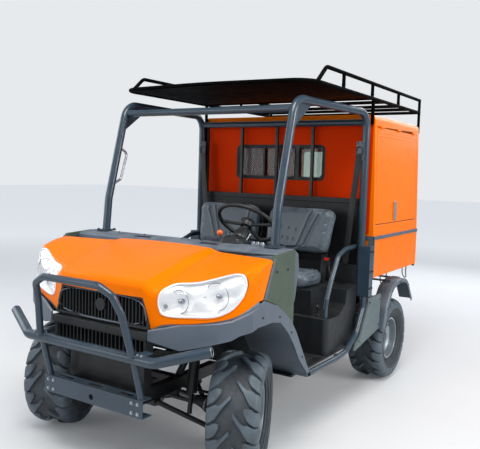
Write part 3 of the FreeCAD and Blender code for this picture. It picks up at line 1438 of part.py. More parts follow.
def make_rack():
    """Roof deck and rack over the cab and the tool box."""
    r, half, z = d.rack_tube, d.rack_half_width, d.rack_height
    front, rear = d.rack_front, d.wheelbase + d.tail_overhang - d.rack_tube
    plan = [point(x, station, z) for x, station in (
        (-half, rear), (-half, front), (0, front - d.rack_bow), (half, front), (half, rear))]
    ring = tube(plan, r, [0, 140, 2500, 140, 0])
    pieces = [ring]
    deck_face = face([point(-half, 1500, z - 3), plan[1] - Vector(0, 0, 3), plan[2] - Vector(0, 0, 3),
                      plan[3] - Vector(0, 0, 3), point(half, 1500, z - 3)], [0, 140, 2500, 140, 0])
    pieces.append(made("roof_deck", deck_face.extrude(Vector(0, 0, 6))))
    for station in (1500, 1750, 2050, 2300, rear):
        pieces.append(bar(point(-half, station, z), point(half, station, z), r))
    top = d.rack_rail_height
    for side in (-1, 1):
        x = side * half
        pieces.append(tube([point(x, 620, z), point(x, 740, top), point(x, rear, top)], r, [0, 60, 0]))
        for station in (1000, 1500, 2050, rear):
            pieces.append(bar(point(x, station, z), point(x, station, top), r - 1))
        pieces.append(bar(point(x, 1524.5, 1955), point(x, 1524.5, z), r - 0.1))
        pieces.append(bar(point(x, rear, 1960), point(x, rear, z), r - 1))
    for side in (-1, 1):
        pieces.append(block(sorted((side * (half + 6), side * (half - 60))),
                            (d.bed_rear + d.clearance, rear), (1965, 1995)))
    node("roof_rack", fuse(pieces))


# The lift cylinder's linkage is open at the rod's eye, so the eye is wider than its pin.
LIFT_EYE_RING = 23.5
LIFT_EYE_BORE = 17


def make_lift():
    base = point(0, d.lift_base_station, d.lift_base_height)
    eye = point(0, d.lift_eye_station, d.lift_eye_height)
    axis = (eye - base).normalize()
    reach = (eye - base).Length
    barrel = fuse([cylinder(22, 44, base - Vector(22, 0, 0), Vector(1, 0, 0)),
                   bar(base + axis * 12, base + axis * (reach - 75), d.lift_barrel_radius)])
    pin_bore = cylinder(LIFT_BASE_PIN + d.clearance, 60, base - Vector(30, 0, 0), Vector(1, 0, 0))
    bore_start = base + axis * 40
    bore = bar(bore_start, base + axis * reach, d.lift_rod_radius + d.clearance)
    node("lift_barrel", cut(barrel, pin_bore, bore))
    rod = fuse([bar(base + axis * 60, eye - axis * (LIFT_EYE_BORE + 3), d.lift_rod_radius),
                cylinder(LIFT_EYE_RING, 36, eye - Vector(18, 0, 0), Vector(1, 0, 0))])
    eye_bore = cylinder(LIFT_EYE_BORE, 60, eye - Vector(30, 0, 0), Vector(1, 0, 0))
    node("lift_rod", cut(rod, eye_bore))


make_wheels()
make_knuckles()
make_rear_hubs()
make_frame()
make_gear()
make_suspension()
make_brush_guard()
make_hood()
make_fascia()
make_front_fenders()
make_cowl()
make_side_cowls()
make_floor()
make_seat_base()
make_seats()
make_rear_screen()
make_rops()
make_side_guards()
make_rear_bodywork()
make_controls()
make_steering_wheel()
make_tie_rods()
make_bed()
make_box()
make_rack()
make_lift()

document.recompute()
for item in document.Objects:
    if "Invalid" in item.State or "Error" in item.State:
        raise RuntimeError("failed object: " + item.Name)
for node in nodes:
    if node.Shape.isNull() or not node.Shape.isValid():
        raise RuntimeError("bad shape: " + node.Label)
os.makedirs("parts", exist_ok=True)
for node in nodes:
    node.Shape.exportStep("parts/%s.step" % node.Label)
    box = node.Shape.BoundBox
    print("%-22s solids %2d  volume %8.1f cm3  x %7.1f..%7.1f  y %8.1f..%8.1f  z %7.1f..%7.1f" % (
        node.Label, len(node.Shape.Solids), node.Shape.Volume / 1000,
        box.XMin, box.XMax, box.YMin, box.YMax, box.ZMin, box.ZMax))
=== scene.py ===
import json
import math

import bmesh
import bpy
from mathutils import Matrix, Vector
from mathutils.bvhtree import BVHTree


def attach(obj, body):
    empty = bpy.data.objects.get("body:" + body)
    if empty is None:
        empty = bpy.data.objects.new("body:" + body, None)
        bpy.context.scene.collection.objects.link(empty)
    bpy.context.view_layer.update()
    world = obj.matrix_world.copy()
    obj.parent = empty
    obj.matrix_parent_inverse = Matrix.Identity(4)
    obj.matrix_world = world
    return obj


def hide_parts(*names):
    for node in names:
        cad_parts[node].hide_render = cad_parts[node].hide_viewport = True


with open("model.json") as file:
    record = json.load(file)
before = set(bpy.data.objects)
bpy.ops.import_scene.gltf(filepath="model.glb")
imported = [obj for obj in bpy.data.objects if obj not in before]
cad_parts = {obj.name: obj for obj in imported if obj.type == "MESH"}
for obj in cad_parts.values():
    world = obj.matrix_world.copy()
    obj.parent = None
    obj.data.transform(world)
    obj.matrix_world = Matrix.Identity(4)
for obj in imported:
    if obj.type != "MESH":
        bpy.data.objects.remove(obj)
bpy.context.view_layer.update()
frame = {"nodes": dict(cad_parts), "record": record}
nodes = frame["nodes"]

# Shared sizes in metres. Stations count from the front axle to the rear.

FRONT_AXLE = -0.992
REAR_AXLE = FRONT_AXLE + 2.045
AXLE_HEIGHT = 0.3175
X, Y, Z = Vector((1, 0, 0)), Vector((0, 1, 0)), Vector((0, 0, 1))
FLIP = Matrix.Scale(-1, 4, X)
SIDES = (("left", 1), ("right", -1))


def at(station):
    return FRONT_AXLE + station


def point(x, station, z):
    return Vector((x, at(station), z))


def clamp(value, low=0.0, high=1.0):
    return max(low, min(high, value))


def in_scene(name, data):
    """A new object, linked into the scene."""
    piece = bpy.data.objects.new(name, data)
    bpy.context.scene.collection.objects.link(piece)
    return piece


# Materials

GRAIN_DEPTH = 0.0006
PALE_ROOM = (0.80, 0.82, 0.84, 1.0)


def socket_value(node, name, value):
    node.inputs[name].default_value = value


class Tree:
    """Small helper that adds nodes to one material's tree."""

    def __init__(self, name):
        self.material = bpy.data.materials.new(name)
        self.material.use_nodes = True
        self.tree = self.material.node_tree
        self.shader = self.tree.nodes["Principled BSDF"]
        self.place = self.add("ShaderNodeTexCoord").outputs["Object"]

    def add(self, kind, **values):
        node = self.tree.nodes.new(kind)
        for key, value in values.items():
            if key in node.inputs:
                node.inputs[key].default_value = value
            else:
                setattr(node, key, value)
        return node

    def join(self, source, target):
        self.tree.links.new(source, target)

    def noise(self, scale, detail=3.0):
        node = self.add("ShaderNodeTexNoise")
        socket_value(node, "Scale", scale)
        socket_value(node, "Detail", detail)
        self.join(self.place, node.inputs["Vector"])
        return node.outputs["Fac"]

    def span(self, source, low, high, start=0.0, end=1.0):
        node = self.add("ShaderNodeMapRange")
        self.join(source, node.inputs["Value"])
        socket_value(node, "From Min", low)
        socket_value(node, "From Max", high)
        socket_value(node, "To Min", start)
        socket_value(node, "To Max", end)
        return node.outputs["Result"]

    def times(self, a, b):
        node = self.add("ShaderNodeMath", operation="MULTIPLY")
        self.join(a, node.inputs[0])
        if isinstance(b, (int, float)):
            node.inputs[1].default_value = b
        else:
            self.join(b, node.inputs[1])
        return node.outputs[0]

    def mix(self, factor, a, b):
        node = self.add("ShaderNodeMix", data_type="RGBA")
        self.join(factor, node.inputs["Factor"])
        for value, target in ((a, node.inputs[6]), (b, node.inputs[7])):
            if isinstance(value, tuple):
                target.default_value = value + (1.0,)
            else:
                self.join(value, target)
        return node.outputs[2]

    def upward(self):
        """1 on faces that look up, 0 on the others."""
        normal = self.add("ShaderNodeNewGeometry").outputs["Normal"]
        split = self.add("ShaderNodeSeparateXYZ")
        self.join(normal, split.inputs[0])
        return self.span(split.outputs["Z"], 0.3, 1.0)

    def bump(self, height, strength):
        node = self.add("ShaderNodeBump")
        socket_value(node, "Strength", strength)
        socket_value(node, "Distance", GRAIN_DEPTH)
        self.join(height, node.inputs["Height"])
        self.join(node.outputs["Normal"], self.shader.inputs["Normal"])


def shade(colour, factor):
    return tuple(min(1.0, c * factor) for c in colour)


def surface(name, colour, rough, grain, metal=0.0, coat=0.0, mottle=0.12, mottle_scale=6.0, dust_and_top_light=None,
            dust_and_top_light_share=0.5, rough_spread=0.1, specular=0.5, gloss_tint=(1.0, 1.0, 1.0)):
    """Uneven colour and roughness, a grain (scale, strength), and a paler tone on the faces that look up: dust,
    and on the seat vinyl also painted light on its lit tops.
    """
    t = Tree(name)
    cloud = t.noise(mottle_scale, 4.0)
    tone = t.mix(t.span(cloud, 0.3, 0.7), shade(colour, 1 - mottle), shade(colour, 1 + mottle))
    patches = t.noise(mottle_scale * 3.1, 5.0)
    roughness = t.span(patches, 0.25, 0.75, rough - rough_spread, rough + rough_spread)
    if dust_and_top_light:
        dust_and_top_light_amount = t.times(t.upward(), t.times(t.span(t.noise(9.0, 6.0), 0.35, 0.7), dust_and_top_light_share))
        tone = t.mix(dust_and_top_light_amount, tone, dust_and_top_light)
    t.join(tone, t.shader.inputs["Base Color"])
    t.join(roughness, t.shader.inputs["Roughness"])
    socket_value(t.shader, "Metallic", metal)
    socket_value(t.shader, "Coat Weight", coat)
    socket_value(t.shader, "Coat Roughness", 0.06)
    socket_value(t.shader, "Specular IOR Level", specular)
    socket_value(t.shader, "Specular Tint", gloss_tint + (1.0,))
    t.bump(t.noise(grain[0], 2.0), grain[1])
    return t.material


finishes = {
    "orange_paint": surface("orange_paint", (0.90, 0.175, 0.0012), 0.30, mottle=0.04, mottle_scale=2.0,
                            grain=(900.0, 0.02), dust_and_top_light=(0.80, 0.20, 0.006), dust_and_top_light_share=0.2, rough_spread=0.06,
                            specular=0.16, gloss_tint=(1.0, 0.55, 0.10)),
    "slate_paint": surface("slate_paint", (0.018, 0.038, 0.060), 0.36, coat=0.25, mottle=0.12,
                           grain=(700.0, 0.10), dust_and_top_light=(0.10, 0.115, 0.125), dust_and_top_light_share=0.4),
    "black_paint": surface("black_paint", (0.006, 0.0065, 0.007), 0.42, coat=0.1, mottle=0.2,
                           grain=(800.0, 0.12), dust_and_top_light=(0.035, 0.036, 0.036), dust_and_top_light_share=0.4, specular=0.35),
    "grey_plastic": surface("grey_plastic", (0.085, 0.108, 0.138), 0.44, mottle=0.12, mottle_scale=4.0,
                            grain=(1300.0, 0.4), dust_and_top_light=(0.24, 0.27, 0.31), dust_and_top_light_share=0.6),
    "olive_plastic": surface("olive_plastic", (0.050, 0.074, 0.050), 0.50, mottle=0.15, mottle_scale=5.0,
                             grain=(1200.0, 0.45), dust_and_top_light=(0.13, 0.14, 0.11), dust_and_top_light_share=0.5),
    "black_plastic": surface("black_plastic", (0.009, 0.011, 0.013), 0.46, mottle=0.2,
                             grain=(1300.0, 0.4), dust_and_top_light=(0.05, 0.05, 0.048), dust_and_top_light_share=0.5, specular=0.4),
    # the pale bluish tone on its faces that look up is partly dust and partly painted light, so the cushion
    # tops come out paler than the backs
    "seat_vinyl": surface("seat_vinyl", (0.075, 0.096, 0.116), 0.40, mottle=0.08, mottle_scale=9.0,
                          grain=(620.0, 0.45), rough_spread=0.04, dust_and_top_light=(0.28, 0.33, 0.38), dust_and_top_light_share=0.8),
    "tyre_rubber": surface("tyre_rubber", (0.070, 0.092, 0.112), 0.56, mottle=0.25, mottle_scale=14.0,
                           grain=(500.0, 0.5), rough_spread=0.12),
    "rim_silver": surface("rim_silver", (0.34, 0.38, 0.41), 0.36, metal=0.65, mottle=0.08,
                          grain=(600.0, 0.08)),
    "lamp_lens": surface("lamp_lens", (0.85, 0.87, 0.88), 0.18, metal=0.3, mottle=0.05, grain=(300.0, 0.05)),
    "cast_metal": surface("cast_metal", (0.16, 0.165, 0.17), 0.46, metal=0.7, mottle=0.2, mottle_scale=18.0,
                          grain=(350.0, 0.5), dust_and_top_light=(0.20, 0.18, 0.15), dust_and_top_light_share=0.5),
    "steel_dark": surface("steel_dark", (0.035, 0.037, 0.040), 0.4, metal=0.5, mottle=0.2, mottle_scale=15.0,
                          grain=(600.0, 0.2), dust_and_top_light=(0.13, 0.12, 0.10), dust_and_top_light_share=0.5),
    "rod_chrome": surface("rod_chrome", (0.72, 0.73, 0.74), 0.12, metal=1.0, mottle=0.03,
                          grain=(900.0, 0.03)),
    "lamp_white": surface("lamp_white", (1.0, 1.0, 1.0), 0.16, metal=0.1, mottle=0.03, mottle_scale=14.0,
                          grain=(160.0, 0.06), rough_spread=0.05),
    "lamp_frame": surface("lamp_frame", (0.80, 0.82, 0.84), 0.25, metal=0.2, mottle=0.04, mottle_scale=20.0,
                          grain=(600.0, 0.05), rough_spread=0.05),
    "lamp_grey": surface("lamp_grey", (0.34, 0.37, 0.42), 0.2, metal=0.7, mottle=0.1, mottle_scale=40.0,
                         grain=(600.0, 0.1), rough_spread=0.05),
    "tyre_wall": surface("tyre_wall", (0.034, 0.042, 0.050), 0.62, mottle=0.3, mottle_scale=20.0,
                         grain=(420.0, 0.5), rough_spread=0.12),
    # the roof rack's black, darkened further and nearly without gloss as painted shade under the deck; also the
    # painted shade inside the guard's open ends
    "roof_black_and_shade": surface("roof_black_and_shade", (0.0018, 0.0018, 0.0020), 0.6, mottle=0.25, grain=(700.0, 0.15),
                          specular=0.015, dust_and_top_light=(0.02, 0.02, 0.02), dust_and_top_light_share=0.4),
    "step_plastic": surface("step_plastic", (0.090, 0.125, 0.135), 0.46, grain=(1200.0, 0.4),
                            dust_and_top_light=(0.16, 0.18, 0.18)),
    # darker red paint for the sheet over the box's front wall: the orange paint's colour in shade, painted in
    # (painted shade)
    "wall_shade_red": surface("wall_shade_red", (0.72, 0.035, 0.0008), 0.4, mottle=0.05, mottle_scale=2.0,
                        grain=(900.0, 0.04), specular=0.1, gloss_tint=(1.0, 0.3, 0.1)),
    "knob_orange": surface("knob_orange", (0.85, 0.13, 0.004), 0.22, coat=0.3, mottle=0.05,
                           grain=(500.0, 0.04)),
    "buckle_red": surface("buckle_red", (0.55, 0.010, 0.008), 0.35, mottle=0.08, grain=(700.0, 0.1)),
}


def clear_glass(name, tint, rough):
    t = Tree(name)
    t.join(t.mix(t.noise(3.0), shade(tint, 0.94), tint), t.shader.inputs["Base Color"])
    t.join(t.span(t.noise(7.0, 5.0), 0.3, 0.7, rough, rough + 0.05), t.shader.inputs["Roughness"])
    socket_value(t.shader, "Transmission Weight", 1.0)
    socket_value(t.shader, "IOR", 1.3)
    return t.material


finishes["glass_pane"] = clear_glass("glass_pane", (0.55, 0.62, 0.58), 0.02)
finishes["clear_lens"] = clear_glass("clear_lens", (0.97, 0.98, 1.0), 0.01)


def dress(mesh, finish):
    """Gives a mesh its finish and smooth faces."""
    mesh.materials.clear()
    mesh.materials.append(finishes[finish])
    for face in mesh.polygons:
        face.use_smooth = True


# Shapes

def circle(centre, axis, radius, count):
    """Points round an axis."""
    across = axis.orthogonal().normalized()
    over = axis.cross(across)
    turns = [2 * math.pi * k / count for k in range(count)]
    return [centre + (across * math.cos(a) + over * math.sin(a)) * radius for a in turns]


class Shape:
    """Points and faces of one piece, added form by form."""

    def __init__(self):
        self.points = []
        self.faces = []

    def add(self, points, faces):
        start = len(self.points)
        self.points += [Vector(p) for p in points]
        self.faces += [tuple(start + i for i in face) for face in faces]

    def grid(self, rows, ring=False, loop=False, ends=False):
        """Faces between rows of points. 'ring' closes each row, 'loop' joins the last row to the first."""
        count = len(rows[0])
        faces = []
        for i in range(len(rows) if loop else len(rows) - 1):
            a, b = i * count, (i + 1) % len(rows) * count
            for j in range(count if ring else count - 1):
                k = (j + 1) % count
                faces.append((a + j, a + k, b + k, b + j))
        if ends:
            faces.append(tuple(range(count))[::-1])
            faces.append(tuple((len(rows) - 1) * count + j for j in range(count)))
        self.add([p for row in rows for p in row], faces)

    def box(self, one, other, turn=None):
        """Box from any two opposite corners, turned about its middle."""
        low = [min(pair) for pair in zip(one, other)]
        high = [max(pair) for pair in zip(one, other)]
        middle = (Vector(low) + Vector(high)) / 2
        corners = []
        for z in (low[2], high[2]):
            for x, y in ((low[0], low[1]), (high[0], low[1]), (high[0], high[1]), (low[0], high[1])):
                corner = Vector((x, y, z))
                corners.append(middle + turn @ (corner - middle) if turn else corner)
        self.add(corners, [(3, 2, 1, 0), (4, 5, 6, 7), (0, 1, 5, 4), (1, 2, 6, 5), (2, 3, 7, 6),
                           (3, 0, 4, 7)])

    def tube(self, path, radius, sides=14, closed=False):
        """Round bar along points. 'radius' may be one number per point."""
        radii = radius if hasattr(radius, "__len__") else [radius] * len(path)
        rows = []
        across = None
        for i, p in enumerate(path):
            before = path[i - 1] if closed or i else p
            after = path[(i + 1) % len(path)] if closed or i < len(path) - 1 else p
            along = (after - before).normalized()
            if across is None:
                across = along.orthogonal().normalized()
            across = (across - along * across.dot(along)).normalized()
            over = along.cross(across)
            turns = [2 * math.pi * k / sides for k in range(sides)]
            rows.append([p + (across * math.cos(a) + over * math.sin(a)) * radii[i] for a in turns])
        self.grid(rows, ring=True, loop=closed, ends=not closed)

    def lathe(self, profile, centre, axis, sides=40):
        """Turned form: (place along the axis, radius) pairs."""
        axis = Vector(axis).normalized()
        rows = [circle(Vector(centre) + axis * along, axis, radius, sides) for along, radius in profile]
        self.grid(rows, ring=True, ends=True)

    def prism(self, outline, span):
        """A flat outline, carried along 'span'."""
        self.grid([outline, [p + span for p in outline]], ring=True, ends=True)

    def bolt(self, place, axis, size):
        """Hexagon head on a washer."""
        self.lathe([(0, size * 1.25), (size * 0.2, size * 1.25)], place, axis, 16)
        self.lathe([(size * 0.2, size), (size * 0.8, size), (size * 0.95, size * 0.85)], place, axis, 6)

    def mirrored(self):
        """Adds the same form on the vehicle's other side."""
        points = [Vector((-p.x, p.y, p.z)) for p in self.points]
        self.add(points, [face[::-1] for face in self.faces])
        return self

    def moved(self, matrix):
        self.points = [matrix @ p for p in self.points]
        if matrix.determinant() < 0:
            self.faces = [face[::-1] for face in self.faces]
        return self

    def mesh(self, name):
        """The form as a mesh with its faces turned outward."""
        mesh = bpy.data.meshes.new(name)
        mesh.from_pydata(self.points, [], self.faces)
        mesh.validate()
        work = bmesh.new()
        work.from_mesh(mesh)
        bmesh.ops.recalc_face_normals(work, faces=work.faces)
        work.to_mesh(mesh)
        work.free()
        return mesh

    def done(self, name, finish, body, slot=None, bevel=0.0, replaces=None, smooth=35):
        """Makes the piece and hands it to its body."""
        piece = in_scene(name, self.mesh(name))
        dress(piece.data, finish)
        if bevel:
            soften(piece, bevel)
        else:
            piece.data.set_sharp_from_angle(angle=math.radians(smooth))
        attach(piece, body)
        if replaces:
            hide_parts(replaces)
        return piece


def soften(piece, width):
    """Rounds the sharp edges and evens the shading of the flats."""
    edge = piece.modifiers.new("edge", "BEVEL")
    edge.width = width
    edge.segments = 2
    edge.limit_method = "ANGLE"
    edge.angle_limit = math.radians(32)
    edge.use_clamp_overlap = False
    even = piece.modifiers.new("even", "WEIGHTED_NORMAL")
    even.weight = 80


def curve_through(points, count):
    """Evenly numbered points on a smooth curve through a short list of tuples."""
    out = []
    last = len(points) - 1
    for k in range(count):
        place = k * last / (count - 1)
        i = min(int(place), last - 1)
        t = place - i
        a, b = points[i], points[i + 1]
        before = points[i - 1] if i else [2 * p - q for p, q in zip(a, b)]
        after = points[i + 2] if i + 2 <= last else [2 * q - p for p, q in zip(a, b)]
        out.append(tuple(
            0.5 * (2 * q + (r - p) * t + (2 * p - 5 * q + 4 * r - s) * t * t + (3 * q - p - 3 * r + s) * t ** 3)
            for p, q, r, s in zip(before, a, b, after)))
    return out


def between(value, table):
    """Straight-line reading of a table of (place, value) pairs."""
    for (a, low), (b, high) in zip(table, table[1:]):
        if value <= b:
            return low + (high - low) * max(0.0, (value - a) / (b - a))
    return table[-1][1]


# CAD nodes keep their shape and get a finish, softened edges and even shading

CAD_EDGE = 0.0022
# two nodes are darker or greener in the photograph than their slot's finish; the roof rack's near-black without
# gloss also stands in for the shade under its deck (painted shade)
OTHER_FINISH = {"roof_rack": "roof_black_and_shade", "rear_side_panels": "step_plastic"}
record_slot = {s["node"]: s["material_slot"] for s in frame["record"]["subparts"]}
for name, node in nodes.items():
    dress(node.data, OTHER_FINISH.get(name, record_slot[name]))
    weld = node.modifiers.new("weld", "WELD")
    weld.merge_threshold = 0.00002
    flat = node.modifiers.new("flat", "DECIMATE")
    flat.decimate_type = "DISSOLVE"
    flat.angle_limit = math.radians(0.6)
    soften(node, CAD_EDGE)


# Wheels

TYRE_RADIUS = 0.3175
TYRE_SIDES = 88
LUG_COUNT = 11
LUG_PITCH = 2 * math.pi / LUG_COUNT
FRONT_HALF_TRACK = 0.632
REAR_HALF_TRACK = 0.642
KINGPIN_X = 0.500
STEER_REST = math.radians(22)
# carcass from the middle of the tread to the bead, columns: across, radius
CARCASS = [(0.0, 0.2985), (0.030, 0.2980), (0.060, 0.2965), (0.088, 0.2930), (0.110, 0.2840),
           (0.124, 0.2680), (0.1305, 0.2450), (0.1295, 0.2200), (0.1200, 0.1920), (0.1060, 0.1730),
           (0.0955, 0.1655), (0.0935, 0.1540)]
# rings moulded into both sidewalls, columns: across, radius, size
WALL_RINGS = [(0.1285, 0.2120, 0.0022), (0.1205, 0.1905, 0.0030), (0.1090, 0.1745, 0.0042)]
# place round the tyre in pitches against the distance across
LUG_SWEEP = [(0.004, 0.00), (0.066, 0.42), (0.111, 0.60), (0.134, 0.63)]
# half widths of the lugs against the distance across
LONG_LUG = [(0.004, 0.0105), (0.048, 0.0115), (0.066, 0.020), (0.084, 0.036), (0.134, 0.038)]
SHORT_LUG = [(0.060, 0.010), (0.070, 0.020), (0.084, 0.032), (0.134, 0.034)]
LONG_LUG_TALL, SHORT_LUG_TALL = 0.0195, 0.0185
# section of a lug, columns: share of its half width, share of its height
LUG_SECTION = [(-1.10, -0.5), (-1.0, 0.72), (-0.90, 0.97), (-0.4, 1.0), (0.4, 1.0), (0.90, 0.97),
               (1.0, 0.72), (1.10, -0.5)]
# below this radius the lugs grow flatter over this distance
SHOULDER_RADIUS, SHOULDER_FADE = 0.284, 0.040
# small block in the groove behind a short lug, columns: across, half its height
GROOVE_BLOCK = [(0.078, 0.004), (0.083, 0.010), (0.100, 0.010), (0.105, 0.004)]


def carcass_line():
    """Points down one side of the carcass with their outward directions."""
    line = curve_through(CARCASS, 45)
    out = []
    for i, (across, radius) in enumerate(line):
        a, b = line[max(0, i - 1)], line[min(len(line) - 1, i + 1)]
        along = Vector((b[0] - a[0], b[1] - a[1])).normalized()
        out.append((across, radius, Vector((-along.y, along.x))))
    return out


def around(across, radius, turn):
    return Vector((across, radius * math.cos(turn), radius * math.sin(turn)))


def tread_bar(shape, line, side, turn, widths, height):
    """One lug that follows the carcass from near the middle of the tread to low on the shoulder."""
    start, stop = widths[0][0], widths[-1][0]
    run = [entry for entry in line[:26] if entry[0] >= start - 0.002]
    rows = []
    for k, (across, radius, out) in enumerate(run):
        reach = min(across, stop)
        middle = (turn + between(reach, LUG_SWEEP)) * LUG_PITCH
        half = between(reach, widths)
        fade = max(0.28, 1 - max(0.0, SHOULDER_RADIUS - radius) / SHOULDER_FADE)
        tall = height * min(1.0, 0.55 + 0.3 * k) * fade
        row = []
        for share, lift in LUG_SECTION:
            far = min(TYRE_RADIUS - 0.0004, radius + out.y * tall * lift)
            row.append(around(side * (across + out.x * tall * lift), far, middle + share * half / radius))
        rows.append(row)
    shape.grid(rows, ring=True, ends=True)


def carcass_shape():
    line = carcass_line()
    full = [(x, r) for x, r, _ in line[::-1]] + [(-x, r) for x, r, _ in line[1:]]
    shape = Shape()
    shape.grid([[around(x, r, 2 * math.pi * k / TYRE_SIDES) for x, r in full] for k in range(TYRE_SIDES)],
               loop=True)
    for side in (1, -1):
        for across, radius, size in WALL_RINGS:
            ring = [around(side * across, radius, 2 * math.pi * k / TYRE_SIDES) for k in range(TYRE_SIDES)]
            shape.tube(ring, size, 8, closed=True)
    return shape


def groove_block(shape, side, turn):
    """Small block in the groove behind a short lug."""
    middle = (turn + 0.36) * LUG_PITCH
    rows = []
    for across, tall in GROOVE_BLOCK:
        rows.append([around(side * across, 0.2890 + tall * lift, middle + share * 0.030)
                     for share, lift in ((-1, -1), (-0.85, 1), (0.85, 1), (1, -1))])
    shape.grid(rows, ring=True, ends=True)


def lug_shape():
    line = carcass_line()
    shape = Shape()
    for turn in range(LUG_COUNT):
        for side, shift in ((1, 0.0), (-1, 0.5)):
            tread_bar(shape, line, side, turn + shift, LONG_LUG, LONG_LUG_TALL)
            tread_bar(shape, line, side, turn + shift + 0.5, SHORT_LUG, SHORT_LUG_TALL)
            groove_block(shape, side, turn + shift + 0.5)
    return shape


WHEELS = {
    "front_left": (Matrix.Translation((KINGPIN_X, at(0), AXLE_HEIGHT)) @ Matrix.Rotation(STEER_REST, 4, "Z")
                   @ Matrix.Translation((FRONT_HALF_TRACK - KINGPIN_X, 0, 0))),
    "front_right": (Matrix.Translation((-KINGPIN_X, at(0), AXLE_HEIGHT)) @ Matrix.Rotation(STEER_REST, 4, "Z")
                    @ Matrix.Translation((KINGPIN_X - FRONT_HALF_TRACK, 0, 0)) @ FLIP),
    "rear_left": Matrix.Translation((REAR_HALF_TRACK, REAR_AXLE, AXLE_HEIGHT)),
    "rear_right": Matrix.Translation((-REAR_HALF_TRACK, REAR_AXLE, AXLE_HEIGHT)) @ FLIP,
}


def wheel_trim():
    """Nuts, centre cap and valve on a wheel's disc."""
    shape = Shape()
    for k in range(4):
        turn = math.radians(45 + 90 * k)
        shape.lathe([(0.030, 0.0125), (0.040, 0.0120), (0.052, 0.0085), (0.055, 0.0050)],
                    around(0.0, 0.055, turn), X, 6)
    shape.lathe([(0.056, 0.040), (0.062, 0.038), (0.068, 0.030), (0.070, 0.018), (0.070, 0.001)],
                (0, 0, 0), X, 32)
    valve = around(0.030, 0.127, 0.6)
    shape.lathe([(0, 0.0045), (0.020, 0.0045), (0.021, 0.0055), (0.030, 0.0055), (0.032, 0.003)],
                valve, X, 12)
    return shape


def make_wheels():
    for name, place in WHEELS.items():
        body = "wheel_" + name
        carcass_shape().moved(place).done("carcass_" + name, "tyre_wall", body, "tyre_rubber", smooth=60,
                                          replaces="tyre_" + name)
        lug_shape().moved(place).done("lugs_" + name, "tyre_rubber", body, smooth=38)
        wheel_trim().moved(place).done("nuts_" + name, "cast_metal", body, bevel=0.0006)


# Hood and headlamps

# Side view of the hood at places across it.
# columns: x, rear station, rear z, brow station, brow z, nose station, nose z, low station, low z
HOOD_LINES = [
    (0.000, 0.150, 1.168, -0.280, 1.066, -0.405, 1.030, -0.392, 0.797),
    (0.150, 0.145, 1.167, -0.286, 1.065, -0.401, 1.028, -0.386, 0.797),
    (0.297, 0.128, 1.163, -0.300, 1.060, -0.392, 1.024, -0.374, 0.797),
    (0.338, 0.122, 1.151, -0.262, 1.034, -0.370, 0.990, -0.370, 0.797),
    (0.400, 0.105, 1.149, -0.252, 1.038, -0.345, 0.980, -0.352, 0.826),
    (0.520, 0.090, 1.148, -0.215, 1.052, -0.282, 0.984, -0.300, 0.838),
    (0.640, 0.075, 1.148, -0.165, 1.081, -0.225, 1.010, -0.242, 0.858),
    (0.720, 0.065, 1.148, -0.140, 1.100, -0.178, 1.040, -0.190, 0.884),
    (0.765, 0.060, 1.146, -0.110, 1.104, -0.135, 1.050, -0.140, 0.920),
    (0.784, 0.056, 1.138, -0.072, 1.100, -0.082, 1.040, -0.062, 0.952),
]
CREASE_INNER, CREASE_OUTER = 2, 3
INNER_X, OUTER_X, HOOD_EDGE = HOOD_LINES[CREASE_INNER][0], HOOD_LINES[CREASE_OUTER][0], 0.785
HOOD_SHEET = 0.006
# ends of the seam with the cowl, columns: station, z
SEAM_LOW, SEAM_HIGH = (-0.036, 0.950), (0.058, 1.146)
DECK_POINTS, DECK_CROWN, CREASE_SPREAD = 18, 0.006, 0.045
GRILLE_OPENING = [(-0.337, 0.790), (0.337, 0.790), (0.293, 0.953), (-0.293, 0.953)]


def hood_line(x):
    """The hood's side view sizes at one place across, smooth on each side of the crease band."""
    x = abs(x)
    if x <= INNER_X:
        run = [(-HOOD_LINES[1][0],) + HOOD_LINES[1][1:]] + HOOD_LINES[:CREASE_INNER + 1]
    elif x <= OUTER_X:
        run = HOOD_LINES[CREASE_INNER:CREASE_OUTER + 1]
    else:
        run = HOOD_LINES[CREASE_OUTER:]
    for i in range(len(run) - 1):
        a, b = run[i], run[i + 1]
        if a[0] <= x <= b[0]:
            t = (x - a[0]) / (b[0] - a[0])
            before = run[i - 1] if i else tuple(2 * p - q for p, q in zip(a, b))
            after = run[i + 2] if i + 2 < len(run) else tuple(2 * q - p for p, q in zip(a, b))
            out = []
            for p, q, r, s in zip(before[1:], a[1:], b[1:], after[1:]):
                slope_a = (r - p) / (b[0] - before[0]) * (b[0] - a[0])
                slope_b = (s - q) / (after[0] - a[0]) * (b[0] - a[0])
                out.append((2 * t ** 3 - 3 * t * t + 1) * q + (t ** 3 - 2 * t * t + t) * slope_a
                           + (3 * t * t - 2 * t ** 3) * r + (t ** 3 - t * t) * slope_b)
            return out
    return list(run[-1][1:])


